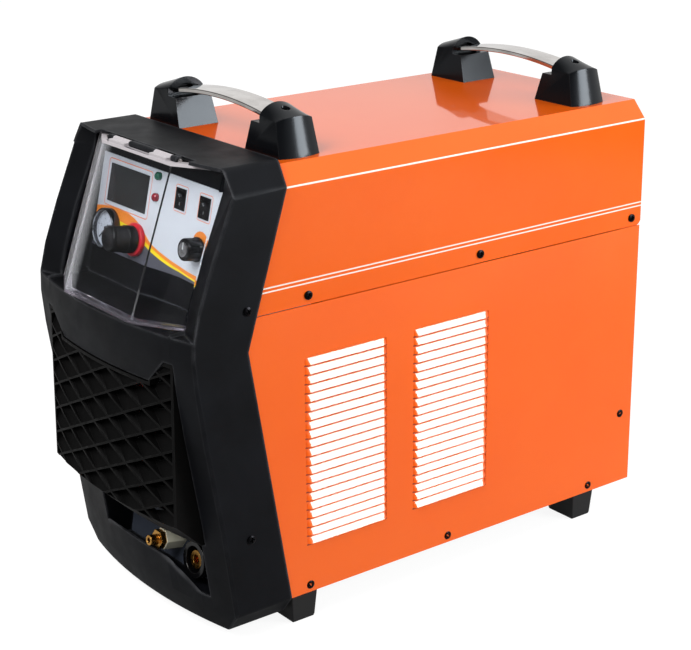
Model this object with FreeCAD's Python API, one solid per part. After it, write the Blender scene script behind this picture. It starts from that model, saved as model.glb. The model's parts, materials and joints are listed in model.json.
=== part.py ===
import FreeCAD, Part
import math
import os

# Plasma cutter unit: an inverter power source in a sheet steel case with a moulded
# front bezel, a clear flip-up cover over the controls, and two strap handles.
# Millimetres. X is across the machine, -Y is its front, +Z is up, and z = 0 is the floor.
# All y values below are set out from the middle of the case. The finished pieces are
# moved along y at the end so that the origin lies under the middle of the whole length.
# A value named height is taken from the lower edge of the painted sheets.

V = FreeCAD.Vector
UP = V(0, 0, 1)
BACK = V(0, 1, 0)

# Case
foot_height = 32.0
foot_length = 31.0
foot_width = 42.0
foot_taper = 3.0
front_foot_y = -169.0
rear_foot_y = 203.0
foot_inset = 4.0
case_width = 275.0
sheet = 1.5
seam_height = 288.0
fold_height = 400.0
case_height = 418.0
fold_inset = 16.2
cover_back = 268.0
panel_back = 266.0
rear_recess = 2.5
seam_gap = 0.6
fit_gap = 0.3
flange_gap = 0.3
tray_flange = 20.0
rear_flange = 26.0
frame_front = -160.0
frame_flange = 84.0
frame_window_side = 40.7
frame_slot_side = 55.7
frame_window_span = (40.0, 230.0)
frame_slot_span = (262.0, 372.0)
cheek_knee_height = 120.0
cheek_knee_rise = 20.0
cheek_foot_ahead = 26.0
cheek_top_ahead = 14.0
cheek_drop = 8.0
cover_clip = 4.0

# Front edge of the painted sheets, a chevron seen from the side
edge_top_y = -182.0
edge_fold_y = -185.0
edge_nose_y = -230.0
edge_nose_height = 257.5
edge_foot_y = -187.7

# Louvres in the side sheets
louvre_pitch = 9.0
louvre_count = 21
louvre_bottom = 50.5
louvre_height = 7.6
louvre_proud = 3.2
louvre_skin = 1.0
louvre_columns = ((-168.5, -73.0), (-39.5, 56.0))

# Moulded front bezel
bezel_proud = 1.9
bezel_wall = 3.0
bezel_drop = 20.0
bezel_rise = 5.0
bezel_chamfer = 16.4
bezel_back = -150.0
bezel_crown_radius = 555.0
edge_gap = 0.4
# height, and y of the middle of the front at that height
bezel_profile = (
    (1.0, -268.9), (92.0, -281.3), (179.0, -296.1), (225.0, -302.7), (258.0, -305.6),
    (281.0, -304.6), (308.0, -297.6), (348.0, -282.4), (401.0, -259.8))
bezel_bottom_y = -263.0
bezel_top_y = -255.5

# Window recess and clear cover
window_side = 27.4
cover_top_y = -254.0
cover_top_height = 418.5
cover_bottom_y = -304.0
cover_tall = 139.5
cover_side_gap = 4.0
cover_floor_gap = 1.5
cover_corner_gap = 1.5
cover_flat = 120.0
cover_fall = 26.0
cover_wall = 2.5
cover_lip = 9.0
dish_skin = 3.0
dish_reach = 60.0
hinge_y = -246.0
hinge_height = 420.0
hinge_pin_radius = 1.5
hinge_pin_end = 4.0
hinge_running = 0.05
knuckle_radius = 3.0
knuckle_inner = 22.0
knuckle_outer = 50.0
knuckle_gap = 0.4
notch_margin = 22.0

# Control panel; places are set out from its side edges and its foot
panel_tilt = 12.5
panel_foot_y = -243.9
panel_rise = 26.0
panel_tall = 91.5
panel_side_gap = 4.0
panel_sheet = 1.5
panel_ledge = 5.0
recess_back = 2.5
panel_fit = 0.1
display_margin = 51.0
display_up = 64.8
display_wide = 70.0
display_tall = 37.0
display_deep = 14.0
lamp_x = -6.0
lamp_ups = (66.0, 86.0)
lamp_radius = 4.0
lamp_out = 3.0
lamp_dome = 1.6
rocker_margins = (74.7, 34.0)
rocker_up = 71.8
rocker_wide = 13.5
rocker_tall = 17.5
rocker_deep = 20.0
rocker_rim = 1.6
rocker_rim_tall = 1.4
rocker_wall = 1.3
rocker_gap = 0.3
rocker_key_lap = 1.5
rocker_pin_radius = 1.0
rocker_pivot = -1.5
rocker_swing = 20.0
current_margin = 33.0
current_up = 33.5
current_radius = 11.5
current_long = 17.0
flute_count = 12
flute_radius = 1.3
knob_gap = 2.4
cap_radius = 7.0
bush_radius = 4.4
shaft_radius = 3.0
shaft_running = 0.06
regulator_x = -30.0
regulator_up = 20.5
regulator_radius = 13.2
regulator_long = 26.6
bowl_radius = 15.0
bowl_long = 40.0
ring_radius = 16.0
ring_wide = 7.0
ring_thick = 5.0
spindle_radius = 5.0
gauge_margin = 28.0
gauge_up = 20.5
gauge_radius = 20.0
gauge_neck_radius = 15.0
gauge_deep = 9.0
gauge_rim = 2.2
dial_seat = 2.0
dial_thick = 0.8
needle_long = 14.5
needle_rest = 135.0

# Lattice grille
apron_tall = 27.0
grille_front_top = -304.0
grille_front_bottom = -307.0
grille_bottom_height = 95.0
grille_foot_height = 70.0
grille_foot_y = -281.0
grille_deep = 16.0
grille_skin = 9.0
grille_wall = 3.0
grille_shoulder = 10.0
grille_notch_drop = 24.0
scale_wide = 27.1
scale_tall = 25.0
scale_rib = 1.3
scale_fall = 12.5
scale_lip = 0.4
scale_least = 20.0
scale_first = 88.0

# Connector bay
bay_left_margin = 50.0
bay_right_margin = 4.0
bay_sill_height = 36.0
bay_floor_height = 13.0
bay_step_y = -271.0
bay_step_run = 9.0
bay_roof_height = 78.0
plate_tilt = 10.0
plate_y = -239.0
plate_height = 38.0
plate_sheet = 2.0
torch_x = 26.0
torch_height = 38.0
torch_radius = 4.9
torch_hole_gap = 3.1
torch_hex = 19.0
torch_long = 22.0
torch_nut_hex = 17.0
torch_nut_long = 6.0
torch_tube_radius = 5.0
torch_tube_long = 9.0
torch_bore_radius = 2.5
socket_x = 75.0
socket_height = 34.0
socket_radius = 18.0
socket_bore_radius = 12.5
socket_long = 17.0
contact_radius = 9.0
contact_bore_radius = 4.5
contact_long = 14.0
socket_lap = 3.0

# Handles; x values of a post are taken from its inner edge
post_margin = 6.5
post_wide = 59.2
post_ys = (-150.1, 211.4)
post_deep = 44.8
post_rise = 45.0
post_fall = 11.5
post_shoulder = 31.0
post_step = 28.0
post_draft = 3.3
post_lean_in = 13.5
post_lean_out = 10.4
post_bow = 5.0
mouth_wall = 3.2
mouth_deep = 5.0
strap_wide = 28.0
strap_thick = 4.5
strap_crown = 42.0
strap_seat = 27.0
mouth_reach = 21.4
screw_reach = 34.4
strap_reach = 40.4
head_screw_radius = 3.5
head_screw_deep = 4.0
head_screw_tall = 2.2

# Fasteners
screw_radius = 2.0
screw_head = 4.3
screw_head_tall = 2.2
screw_long = 8.0
screw_clearance = 0.3
low_screw_height = 7.6
cover_screw_rise = 9.0

# Rear panel fittings; x places are set out from the sides of the case
fan_height = 150.0
fan_square = 150.0
fan_deep = 38.0
fan_bore = 70.0
fan_flange = 4.0
fan_arm = 3.0
fan_motor_long = 5.0
fan_hub = 27.0
fan_blades = 7
fan_tip_gap = 2.5
fan_rotor_gap = 0.5
fan_rotor_back_gap = 4.5
fan_shaft_short = 4.0
fan_shaft_radius = 3.0
fan_shaft_running = 0.05
guard_rings = 4
guard_ring_wide = 2.4
guard_thick = 1.6
guard_ear = 6.0
breaker_margin = 67.5
breaker_height = 330.0
breaker_wide = 54.0
breaker_tall = 80.0
breaker_deep = 60.0
breaker_lap = 4.0
breaker_flange = 3.0
breaker_nose = 6.0
lever_pivot_radius = 2.5
lever_running = 0.05
lever_room = 16.0
lever_side_gap = 0.5
lever_long = 21.0
lever_swing = 70.0
gland_margin = 67.5
gland_height = 330.0
gland_radius = 15.0
gland_bore_radius = 8.0
gland_long = 20.0
inlet_margin = 42.5
inlet_height = 34.0
inlet_radius = 5.0
inlet_bore_radius = 3.0
inlet_long = 24.0
earth_margin = 37.5
earth_height = 34.0
earth_radius = 4.0
earth_long = 20.0

# Inner works
sink_wide = 70.0
sink_tall = 96.0
sink_long = 150.0
sink_fins = 7
sink_edge = 6.0
sink_margin = 50.5
sink_y = -5.0
board_thick = 1.6
board_margin = 19.7
board_long = 190.0
can_radius = 17.5
can_tall = 50.0
can_pitch = 44.0
core_wide = 88.0
core_tall = 76.0
core_deep = 44.0
core_limb = 22.0
core_y = 130.0
coil_margin = 6.0
choke_radius = 33.0
choke_tall = 30.0
choke_y = -118.0
choke_margin = 67.5
valve_size = 30.0
valve_long = 48.0
valve_y = 170.0
tube_radius = 4.0
tube_turn_y = -125.0
tube_height = 314.0
tube_drop_x = -62.0
tube_end_y = -200.0
control_left = -44.0
control_right = 86.0
control_low = 240.0
control_tall = 144.0
control_lift = 8.0
spacer_radius = 3.0
spacer_inset = 6.0

# Worked out from the values above
half = case_width / 2
base_z = foot_height
seam_z = base_z + seam_height
fold_z = base_z + fold_height
top_z = base_z + case_height
top_half = half - fold_inset
nose_z = base_z + edge_nose_height
inner_half = half - sheet - flange_gap
frame_window_half = inner_half - frame_window_side
frame_slot_half = inner_half - frame_slot_side
back_y = cover_back - rear_recess
bezel_half = half + bezel_proud
bezel_low = base_z - bezel_drop
bezel_high = top_z + bezel_rise
far_front = grille_front_bottom - 33
window_half = bezel_half - window_side
cover_half = window_half - cover_side_gap
recess_corner = cover_side_gap + cover_floor_gap - cover_corner_gap
knuckle_end = cover_flat / 2
notch_half = knuckle_end + notch_margin
cover_bottom_height = cover_top_height - cover_tall
panel_half = window_half - panel_side_gap
panel_foot_height = cover_bottom_height + panel_rise
display_x = display_margin - panel_half
gauge_x = gauge_margin - panel_half
current_x = panel_half - current_margin
rocker_xs = [panel_half - margin for margin in rocker_margins]
grille_top_height = cover_bottom_height - apron_tall
grille_notch_height = grille_top_height - grille_notch_drop
grille_notch_half = window_half - grille_shoulder - grille_notch_drop
grille_back_y = grille_foot_y + grille_deep
bay_left = bay_left_margin - window_half
bay_right = window_half - bay_right_margin
post_outer = top_half - post_margin
post_inner = post_outer - post_wide
strap_mouth = post_inner + mouth_reach
strap_end = post_inner + strap_reach
head_screw_x = post_inner + screw_reach
breaker_x = breaker_margin - half
gland_x = half - gland_margin
inlet_x = inlet_margin - half
earth_x = half - earth_margin
board_wide = 2 * (inner_half - board_margin)
sink_x = half - sink_margin - sink_wide / 2
choke_x = half - choke_margin
parts = {}


def box(x0, x1, y0, y1, z0, z1):
    """A block between two opposite corners."""
    return Part.makeBox(x1 - x0, y1 - y0, z1 - z0, V(x0, y0, z0))


def polygon(points):
    """A flat face inside a closed outline of points."""
    return Part.Face(Part.makePolygon(list(points) + [points[0]]))


def prism_x(outline, x0, x1):
    """An outline of (y, z) pairs carried along X."""
    return polygon([V(x0, y, z) for y, z in outline]).extrude(V(x1 - x0, 0, 0))


def prism_y(outline, y0, y1):
    """An outline of (x, z) pairs carried along Y."""
    return polygon([V(x, y0, z) for x, z in outline]).extrude(V(0, y1 - y0, 0))


def prism_z(outline, z0, z1):
    """An outline of (x, y) pairs carried along Z."""
    return polygon([V(x, y, z0) for x, y in outline]).extrude(V(0, 0, z1 - z0))


def rod(radius, length, start, direction):
    """A round bar from a start point along a direction."""
    return Part.makeCylinder(radius, length, start, direction)


def ring(outer, inner, length, start, direction):
    """A round tube."""
    bore = Part.makeCylinder(inner, length, start, direction)
    return Part.makeCylinder(outer, length, start, direction).cut(bore)


def hexagon(across_flats, length):
    """A hexagonal bar that stands on z = 0, two of its flats facing up and down in y."""
    corner = across_flats / math.sqrt(3)
    turns = [math.radians(60 * k) for k in range(6)]
    return prism_z([(corner * math.cos(a), corner * math.sin(a)) for a in turns], 0, length)


def elbowed_bar(corners, radius):
    """A round bar along straight runs, mitred where they meet as in an elbow fitting."""
    profile = Part.Wire(Part.makeCircle(radius, corners[0], corners[1] - corners[0]))
    return Part.makePolygon(corners).makePipeShell([profile], True, False, 1)


def mirrored(shape):
    """The same piece on the other side of the machine."""
    return shape.mirror(V(0, 0, 0), V(1, 0, 0))


def fuse(shapes):
    """One solid from pieces that touch or overlap."""
    return shapes[0].fuse(shapes[1:]).removeSplitter()


def add(name, shape):
    """Keeps a finished piece under its name."""
    parts[name] = shape


def edge_line(z):
    """The y of the front edge of the painted sheets at a height, three straight runs."""
    stations = ((base_z, edge_foot_y), (nose_z, edge_nose_y), (fold_z, edge_fold_y),
                (bezel_high, edge_top_y))
    for (z0, y0), (z1, y1) in zip(stations, stations[1:]):
        if z <= z1:
            return y0 + (y1 - y0) * (z - z0) / (z1 - z0)
    return edge_top_y


def ahead_of_edge(gap, z0, z1):
    """Everything in front of the sheets' front edge, as one wide block."""
    line = [(edge_foot_y - gap, z0), (edge_foot_y - gap, base_z), (edge_nose_y - gap, nose_z),
            (edge_fold_y - gap, fold_z), (edge_top_y - gap, bezel_high), (edge_top_y - gap, z1)]
    return prism_x([(far_front, z0)] + line + [(far_front, z1)], -case_width, case_width)


def on_panel(shape, x, up):
    """Seats a piece drawn flat, its z pointing out of the panel, on the tilted panel."""
    placed = shape.copy()
    placed.translate(V(x, up, 0))
    placed.rotate(V(0, 0, 0), V(1, 0, 0), 90 - panel_tilt)
    placed.translate(V(0, panel_foot_y, base_z + panel_foot_height))
    return placed


def on_plate(shape, x, height):
    """Seats a piece drawn flat on the tilted connector plate at a height above the base."""
    placed = shape.copy()
    placed.translate(V(x, (height - plate_height) / math.cos(math.radians(plate_tilt)), 0))
    placed.rotate(V(0, 0, 0), V(1, 0, 0), 90 - plate_tilt)
    placed.translate(V(0, plate_y, base_z + plate_height))
    return placed


def plate_surface_y(z):
    """The y of the front of the connector plate at a height above the floor."""
    return plate_y + (z - base_z - plate_height) * math.tan(math.radians(plate_tilt))


def panel_surface_y(z, depth):
    """The y at a height of a plane that lies a depth behind the control panel's face."""
    tilt = math.radians(panel_tilt)
    run = (z - base_z - panel_foot_height) * math.tan(tilt)
    return panel_foot_y + run + depth / math.cos(tilt)


def bowed_section(z, front, reach, back):
    """A level slice with a straight back and sides and a front bowed in plan."""
    side = front + reach * reach / (2 * bezel_crown_radius)
    corners = [V(-reach, back, z), V(-reach, side, z), V(reach, side, z), V(reach, back, z)]
    bow = Part.Arc(corners[1], V(0, front, z), corners[2]).toShape()
    return Part.Wire([Part.makeLine(corners[0], corners[1]), bow,
                      Part.makeLine(corners[2], corners[3]), Part.makeLine(corners[3], corners[0])])


def bezel_block(inset):
    """The bezel's outer form, or the hollow inside it, lofted through level slices."""
    narrow = bezel_half - bezel_chamfer
    slices = [(bezel_low + inset, bezel_bottom_y, narrow)]
    slices += [(base_z + height, y, bezel_half) for height, y in bezel_profile]
    slices += [(bezel_high - inset, bezel_top_y, narrow)]
    wires = [bowed_section(z, y + inset, h - inset, bezel_back) for z, y, h in slices]
    return Part.makeLoft(wires, True, True)


def cover_slope():
    """How far the clear cover's front goes back for each millimetre of height."""
    return (cover_top_y - cover_bottom_y) / (cover_top_height - cover_bottom_height)


def cover_front_y(z):
    """The y of the flat middle of the clear cover at a height above the floor."""
    return cover_bottom_y + (z - base_z - cover_bottom_height) * cover_slope()


def leaning_prism(outline, z0, z1):
    """An outline of (x, offset from the cover's middle) carried up along its slope."""
    face = polygon([V(x, cover_front_y(z0) + offset, z0) for x, offset in outline])
    return face.extrude(V(0, (z1 - z0) * cover_slope(), z1 - z0))


def cover_plan(inset):
    """Plan of the clear cover, a flat middle and two facets that fall away, and its back."""
    flat = cover_flat / 2
    reach = cover_half - inset
    fall = cover_fall * (reach - flat) / (cover_half - flat)
    front = [(-reach, inset + fall), (-flat, inset), (flat, inset), (reach, inset + fall)]
    return front + [(x, y + cover_lip) for x, y in reversed(front)]


def recess_outline(grow):
    """Front view of the window recess, open at the top, with cut lower corners."""
    reach = window_half + grow
    low = base_z + cover_bottom_height - cover_floor_gap - grow
    high = bezel_high - bezel_wall
    return [(-reach, low + recess_corner), (-reach + recess_corner, low), (reach - recess_corner, low),
            (reach, low + recess_corner), (reach, high), (-reach, high)]


def ahead_of_panel(depth):
    """Everything in front of a plane that lies a depth behind the control panel's face."""
    z0, z1 = nose_z, bezel_high + 5
    return prism_x([(far_front, z0), (panel_surface_y(z0, depth), z0), (panel_surface_y(z1, depth), z1),
                    (far_front, z1)], -case_width, case_width)


def bezel_level(z):
    """The y of the middle of the bezel's front, and its half width, at a height."""
    narrow = bezel_half - bezel_chamfer
    levels = [(base_z + height, y, bezel_half) for height, y in bezel_profile]
    levels.append((bezel_high, bezel_top_y, narrow))
    for (z0, y0, w0), (z1, y1, w1) in zip(levels, levels[1:]):
        if z <= z1:
            share = (z - z0) / (z1 - z0)
            return y0 + (y1 - y0) * share, w0 + (w1 - w0) * share
    return bezel_top_y, narrow


def dish(side, ahead, behind, low, high):
    """A slab that falls from the bezel's corner in to the edge of the window recess."""
    inner = window_half - 0.5
    middle = [base_z + height for height, y in bezel_profile if low < base_z + height < high]
    wires = []
    for z in [low] + middle + [high]:
        y, w = bezel_level(z)
        corner = w * w / (2 * bezel_crown_radius)
        slope = (cover_fall - corner) / (w - window_half)
        far = w + 1
        inner_y, far_y = y + cover_fall + slope * (window_half - inner), y + corner - slope * (far - w)
        points = [(inner, inner_y + ahead), (far, far_y + ahead),
                  (far, far_y + behind), (inner, inner_y + behind)]
        loop = [V(side * px, py, z) for px, py in points]
        wires.append(Part.makePolygon(loop + [loop[0]]))
    return Part.makeLoft(wires, True, True)


def add_recess(shell, outer):
    """Sinks the window recess into the bezel, with walls, a back and a dished rim."""
    floor = base_z + cover_bottom_height - cover_floor_gap
    roof = bezel_high - bezel_wall
    hollow = prism_y(recess_outline(0), far_front, bezel_back)
    behind = panel_sheet + recess_back
    open_part = hollow.common(ahead_of_panel(panel_sheet))
    walls = prism_y(recess_outline(bezel_wall), far_front, bezel_back).common(ahead_of_panel(behind))
    skins = [walls.cut(open_part).common(outer)]
    for side in (1, -1):
        skins.append(dish(side, 0, dish_skin, floor, roof).common(outer))
        skins.append(dish(side, -dish_reach, dish_skin, floor - bezel_wall, floor).common(outer))
    shell = shell.fuse(skins).cut(open_part)
    return shell.cut([dish(side, -dish_reach, 0, floor, roof) for side in (1, -1)])


def panel_openings():
    """Openings in the recess's back for the works behind the control panel."""
    reach = panel_half - panel_ledge
    ledge = box(-reach, reach, panel_ledge, panel_tall - panel_ledge, -12, 1)
    lamp_hole = rod(lamp_radius + fit_gap, 12, V(0, 0, -12), UP)
    return [on_panel(ledge, 0, 0), on_panel(lamp_hole, lamp_x, lamp_ups[1])]


def knuckle(x0, x1, back, bore):
    """A hinge barrel with a short web that joins it to the piece behind or below it."""
    z = base_z + hinge_height
    barrel = rod(knuckle_radius, x1 - x0, V(x0, hinge_y, z), V(1, 0, 0))
    web = box(x0, x1, hinge_y, back + 0.5, z - knuckle_radius, z + knuckle_radius - 0.5)
    return barrel.fuse(web).cut(rod(bore, x1 - x0, V(x0, hinge_y, z), V(1, 0, 0)))


def grille_outline(grow):
    """Front view of the grille: a block whose top edge steps down around the apron."""
    side = window_half + grow
    low = base_z + grille_foot_height - grow
    top = base_z + grille_top_height + grow
    step = base_z + grille_notch_height + grow
    shoulder = grille_notch_half + grille_notch_drop
    return [(-side, low), (side, low), (side, top), (shoulder - grow, top), (grille_notch_half - grow, step),
            (-grille_notch_half + grow, step), (-shoulder + grow, top), (-side, top)]


def bay_profile(grow):
    """Side view of the connector bay, from open in front to the connector plate."""
    floor = base_z + bay_floor_height - grow
    roof = base_z + bay_roof_height + grow
    sill = base_z + bay_sill_height - grow
    mouth = base_z + grille_foot_height + grow
    return [(far_front, sill), (bay_step_y, sill), (bay_step_y + bay_step_run, floor),
            (plate_surface_y(floor), floor), (plate_surface_y(roof), roof),
            (grille_foot_y + grille_deep / 2, mouth), (far_front, mouth)]


def add_bay(shell, outer):
    """Adds the connector bay's walls behind the slot and opens the slot."""
    walls = prism_x(bay_profile(bezel_wall), bay_left - bezel_wall, bay_right + bezel_wall)
    hollow = prism_x(bay_profile(0), bay_left, bay_right)
    ahead = [(far_front, bezel_low), (plate_surface_y(bezel_low), bezel_low),
             (plate_surface_y(nose_z), nose_z), (far_front, nose_z)]
    walls = walls.common(outer).common(prism_x(ahead, -case_width, case_width))
    under_grille = prism_y(grille_outline(fit_gap), far_front, grille_back_y + 4)
    return shell.fuse(walls.cut(under_grille)).cut(hollow)


def make_bezel():
    """The black moulded front: a hollow shell with a window recess and a connector bay."""
    outer = bezel_block(0)
    shell = add_recess(outer.cut(bezel_block(bezel_wall)), outer)
    web_back = hinge_y + knuckle_radius + knuckle_gap
    notch = box(-notch_half, notch_half, far_front, web_back, bezel_high - bezel_wall - 1, bezel_high + 1)
    grille_room = prism_y(grille_outline(fit_gap), far_front, grille_back_y + 4)
    shell = shell.cut(panel_openings() + [notch, grille_room])
    shell = add_bay(shell, outer).common(ahead_of_edge(edge_gap, bezel_low - 5, bezel_high + 5))
    holes = [side_hole(side, bezel_half, y, height) for side in (1, -1) for y, height in bezel_screw_places()]
    spans = ((-knuckle_end, -knuckle_outer - knuckle_gap),
             (knuckle_gap - knuckle_inner, knuckle_inner - knuckle_gap),
             (knuckle_outer + knuckle_gap, knuckle_end))
    return shell.cut(holes).fuse([knuckle(x0, x1, web_back, hinge_pin_radius) for x0, x1 in spans])


def grille_block(inset, back):
    """The grille's outer form, or its hollow, between three level slices."""
    slices = ((grille_foot_height, grille_foot_y), (grille_bottom_height, grille_front_bottom),
              (grille_top_height, grille_front_top))
    deeper = inset * grille_skin / grille_wall
    return Part.makeLoft([bowed_section(base_z + height, y + deeper, window_half - inset, back)
                          for height, y in slices], True, True)


def grille_face_y(x, z):
    """The y of the grille's bowed face at a place across and up."""
    share = (z - base_z - grille_bottom_height) / (grille_top_height - grille_bottom_height)
    bow = x * x / (2 * bezel_crown_radius)
    return grille_front_bottom + share * (grille_front_top - grille_front_bottom) + bow


def scale_cut(x, z, reach, rise):
    """One diamond pocket whose floor falls inwards from its lower tip to its upper tip."""
    front = grille_front_bottom - 4
    low, high = grille_face_y(x, z) + scale_lip, grille_face_y(x, z) + scale_fall
    mid = (low + high) / 2
    corners = ((x, z + rise, high), (x + reach, z, mid), (x, z - rise, low), (x - reach, z, mid))
    front_points = [V(px, front, pz) for px, pz, y in corners]
    back_points = [V(px, y, pz) for px, pz, y in corners]
    faces = [polygon(front_points), polygon(back_points)]
    for k in range(4):
        n = (k + 1) % 4
        faces.append(polygon([front_points[k], front_points[n], back_points[n], back_points[k]]))
    return Part.Solid(Part.Shell(faces))


def scale_field():
    """The part of the grille that carries scales: all of it but a margin at its edges."""
    inner = window_half - grille_wall
    low, top = base_z + grille_bottom_height - 2, base_z + grille_top_height - 4
    step = base_z + grille_notch_height - grille_wall
    field = box(-inner, inner, far_front, grille_back_y, low, top)
    edge = grille_notch_half + grille_wall
    return field.cut(prism_y([(-edge - 3, top + 5), (edge + 3, top + 5), (edge, step), (-edge, step)],
                             far_front, grille_back_y))


def make_grille():
    """The black lattice: staggered rows of diamond scales with an air hole above each."""
    block = grille_block(0, grille_back_y).cut(grille_block(grille_wall, grille_back_y + 60))
    block = block.common(prism_y(grille_outline(0), far_front, grille_back_y + 1))
    reach = scale_wide - scale_rib * 1.6
    rise = scale_tall / 2 - scale_rib
    field = scale_field()
    columns = int((window_half - grille_wall) / scale_wide) + 1
    rows = int((grille_top_height - scale_first) / scale_tall) + 2
    pockets = []
    for column in range(-columns, columns):
        for row in range(rows):
            up = scale_first + scale_tall * (row + 0.5 * (column % 2))
            pocket = scale_cut((column + 0.5) * scale_wide, base_z + up, reach, rise).common(field)
            if pocket.Volume > scale_least:
                pockets.append(pocket)
    return block.cut(pockets)


def make_window_cover():
    """The clear cover: three facets with a rim folded back all round, and hinge barrels."""
    low = base_z + cover_bottom_height
    high = base_z + cover_top_height
    z = base_z + hinge_height
    inner = leaning_prism(cover_plan(cover_wall), low + cover_wall, high - cover_wall)
    shell = leaning_prism(cover_plan(0), low, high).cut(inner)
    clear = hinge_y - knuckle_radius - knuckle_gap
    shell = shell.cut(box(-knuckle_end - knuckle_gap, knuckle_end + knuckle_gap, clear, clear + 30,
                          z - 2 * knuckle_radius, z + 2 * knuckle_radius))
    lobes = []
    for x0, x1 in ((-knuckle_outer, -knuckle_inner), (knuckle_inner, knuckle_outer)):
        barrel = rod(knuckle_radius, x1 - x0, V(x0, hinge_y, z), V(1, 0, 0))
        web = box(x0, x1, cover_front_y(high) + 0.5, hinge_y, high - cover_wall, z + 1)
        lobes.append(barrel.fuse(web))
    bore = rod(hinge_pin_radius + hinge_running, 2 * knuckle_outer + 4, V(-knuckle_outer - 2, hinge_y, z),
               V(1, 0, 0))
    return shell.fuse(lobes).cut(bore)


def bezel_screw_places():
    """Where the four screws hold the bezel's cheeks to the front frame: y and height."""
    return ((edge_nose_y - 0.5, edge_nose_height + 38.5), (edge_nose_y - 3, 75.3))


def side_screw_places():
    """Screws along a side sheet: three low ones and one near the back, as y and height."""
    return ((edge_foot_y + 22, low_screw_height), (6.2, low_screw_height),
            (rear_foot_y + 1.6, low_screw_height), (panel_back - 16.6, 79.5))


def cover_screw_places():
    """Screws along the top cover's skirt, just above the seam, as y and height."""
    height = seam_height + cover_screw_rise
    return ((frame_front - 2.9, height), (44.2, height), (cover_back - 14, height))


def both_sides(x0, x1, make):
    """A sheet flange at one side and its twin at the other, from an inner and an outer x."""
    return [make(x0, x1), make(-x1, -x0)]


def make_tray():
    """The floor of the case with a flange up each side for the side sheets' screws."""
    flange_front = frame_front + sheet + 1
    flange_back = back_y - rear_flange - 1
    tray = box(-inner_half, inner_half, edge_foot_y + 2, back_y - sheet - fit_gap, base_z, base_z + sheet)
    flanges = both_sides(inner_half - sheet, inner_half, lambda x0, x1: box(
        x0, x1, flange_front, flange_back, base_z, base_z + tray_flange))
    holes = [screw_hole(side, y, height) for side in (1, -1) for y, height in side_screw_places()[:3]]
    add("base_tray", tray.fuse(flanges).cut(holes))


def case_outline(side_gap, top_gap, low):
    """Front view of a plate that fits inside the case, under its bevels."""
    top = top_z - sheet - fit_gap
    return [(-inner_half, low), (inner_half, low), (inner_half, fold_z - side_gap),
            (top_half - top_gap, top), (-top_half + top_gap, top), (-inner_half, fold_z - side_gap)]


def make_front_frame():
    """The upright frame behind the bezel, with air and wiring windows and two cheeks."""
    low = base_z + sheet + fit_gap
    flange_top = fold_z - cheek_drop
    nose_y = frame_front - frame_flange
    plate = prism_y(case_outline(2, 2, low), frame_front, frame_front + sheet)
    outline = [(frame_front + sheet / 2, low), (edge_foot_y - cheek_foot_ahead, low),
               (nose_y, base_z + cheek_knee_height), (nose_y, nose_z + cheek_knee_rise),
               (edge_fold_y - cheek_top_ahead, flange_top), (frame_front + sheet / 2, flange_top)]
    cheeks = both_sides(inner_half - sheet, inner_half, lambda x0, x1: prism_x(outline, x0, x1))
    windows = [box(-frame_window_half, frame_window_half, frame_front - 1, frame_front + sheet + 1,
                   base_z + frame_window_span[0], base_z + frame_window_span[1]),
               box(-frame_slot_half, frame_slot_half, frame_front - 1, frame_front + sheet + 1,
                   base_z + frame_slot_span[0], base_z + frame_slot_span[1])]
    holes = [side_hole(side, inner_half, y, height) for side in (1, -1) for y, height in bezel_screw_places()]
    for side in (1, -1):
        holes.append(screw_hole(side, *side_screw_places()[0]))
        holes.append(screw_hole(side, *cover_screw_places()[0]))
    add("front_frame", plate.fuse(cheeks).removeSplitter().cut(windows + holes))


def make_rear_panel():
    """The recessed back, a shallow pan with holes for the fan, breaker and fittings."""
    low = base_z + sheet + fit_gap
    front = back_y - rear_flange
    turn = sheet * math.tan(bevel_lean() / 2)
    top = top_z - sheet - fit_gap
    inset = [(-inner_half + sheet, low - 1), (inner_half - sheet, low - 1),
             (inner_half - sheet, fold_z - 1 - turn),
             (top_half - 1 - turn, top - sheet), (-top_half + 1 + turn, top - sheet),
             (-inner_half + sheet, fold_z - 1 - turn)]
    pan = prism_y(case_outline(1, 1, low), front, back_y).cut(prism_y(inset, front - 1, back_y - sheet))
    holes = []
    for side in (1, -1):
        holes.append(screw_hole(side, *side_screw_places()[3]))
        holes.append(screw_hole(side, *cover_screw_places()[2]))
    inside = back_y - sheet - 1
    breaker_z = base_z + breaker_height
    half_wide, half_tall = breaker_wide / 2 - breaker_lap, breaker_tall / 2 - breaker_lap
    holes.append(rod(fan_bore, sheet + 2, V(0, inside, base_z + fan_height), BACK))
    holes.append(box(breaker_x - half_wide, breaker_x + half_wide, inside, back_y + 1,
                     breaker_z - half_tall, breaker_z + half_tall))
    for x, height, radius in ((gland_x, gland_height, gland_radius - 4),
                              (inlet_x, inlet_height, inlet_radius),
                              (earth_x, earth_height, earth_radius)):
        holes.append(rod(radius + fit_gap, sheet + 2, V(x, inside, base_z + height), BACK))
    add("rear_panel", pan.cut(holes))


def bevel_lean():
    """The angle of the case's top bevel from level."""
    return math.atan2(case_height - fold_height, fold_inset)


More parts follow.
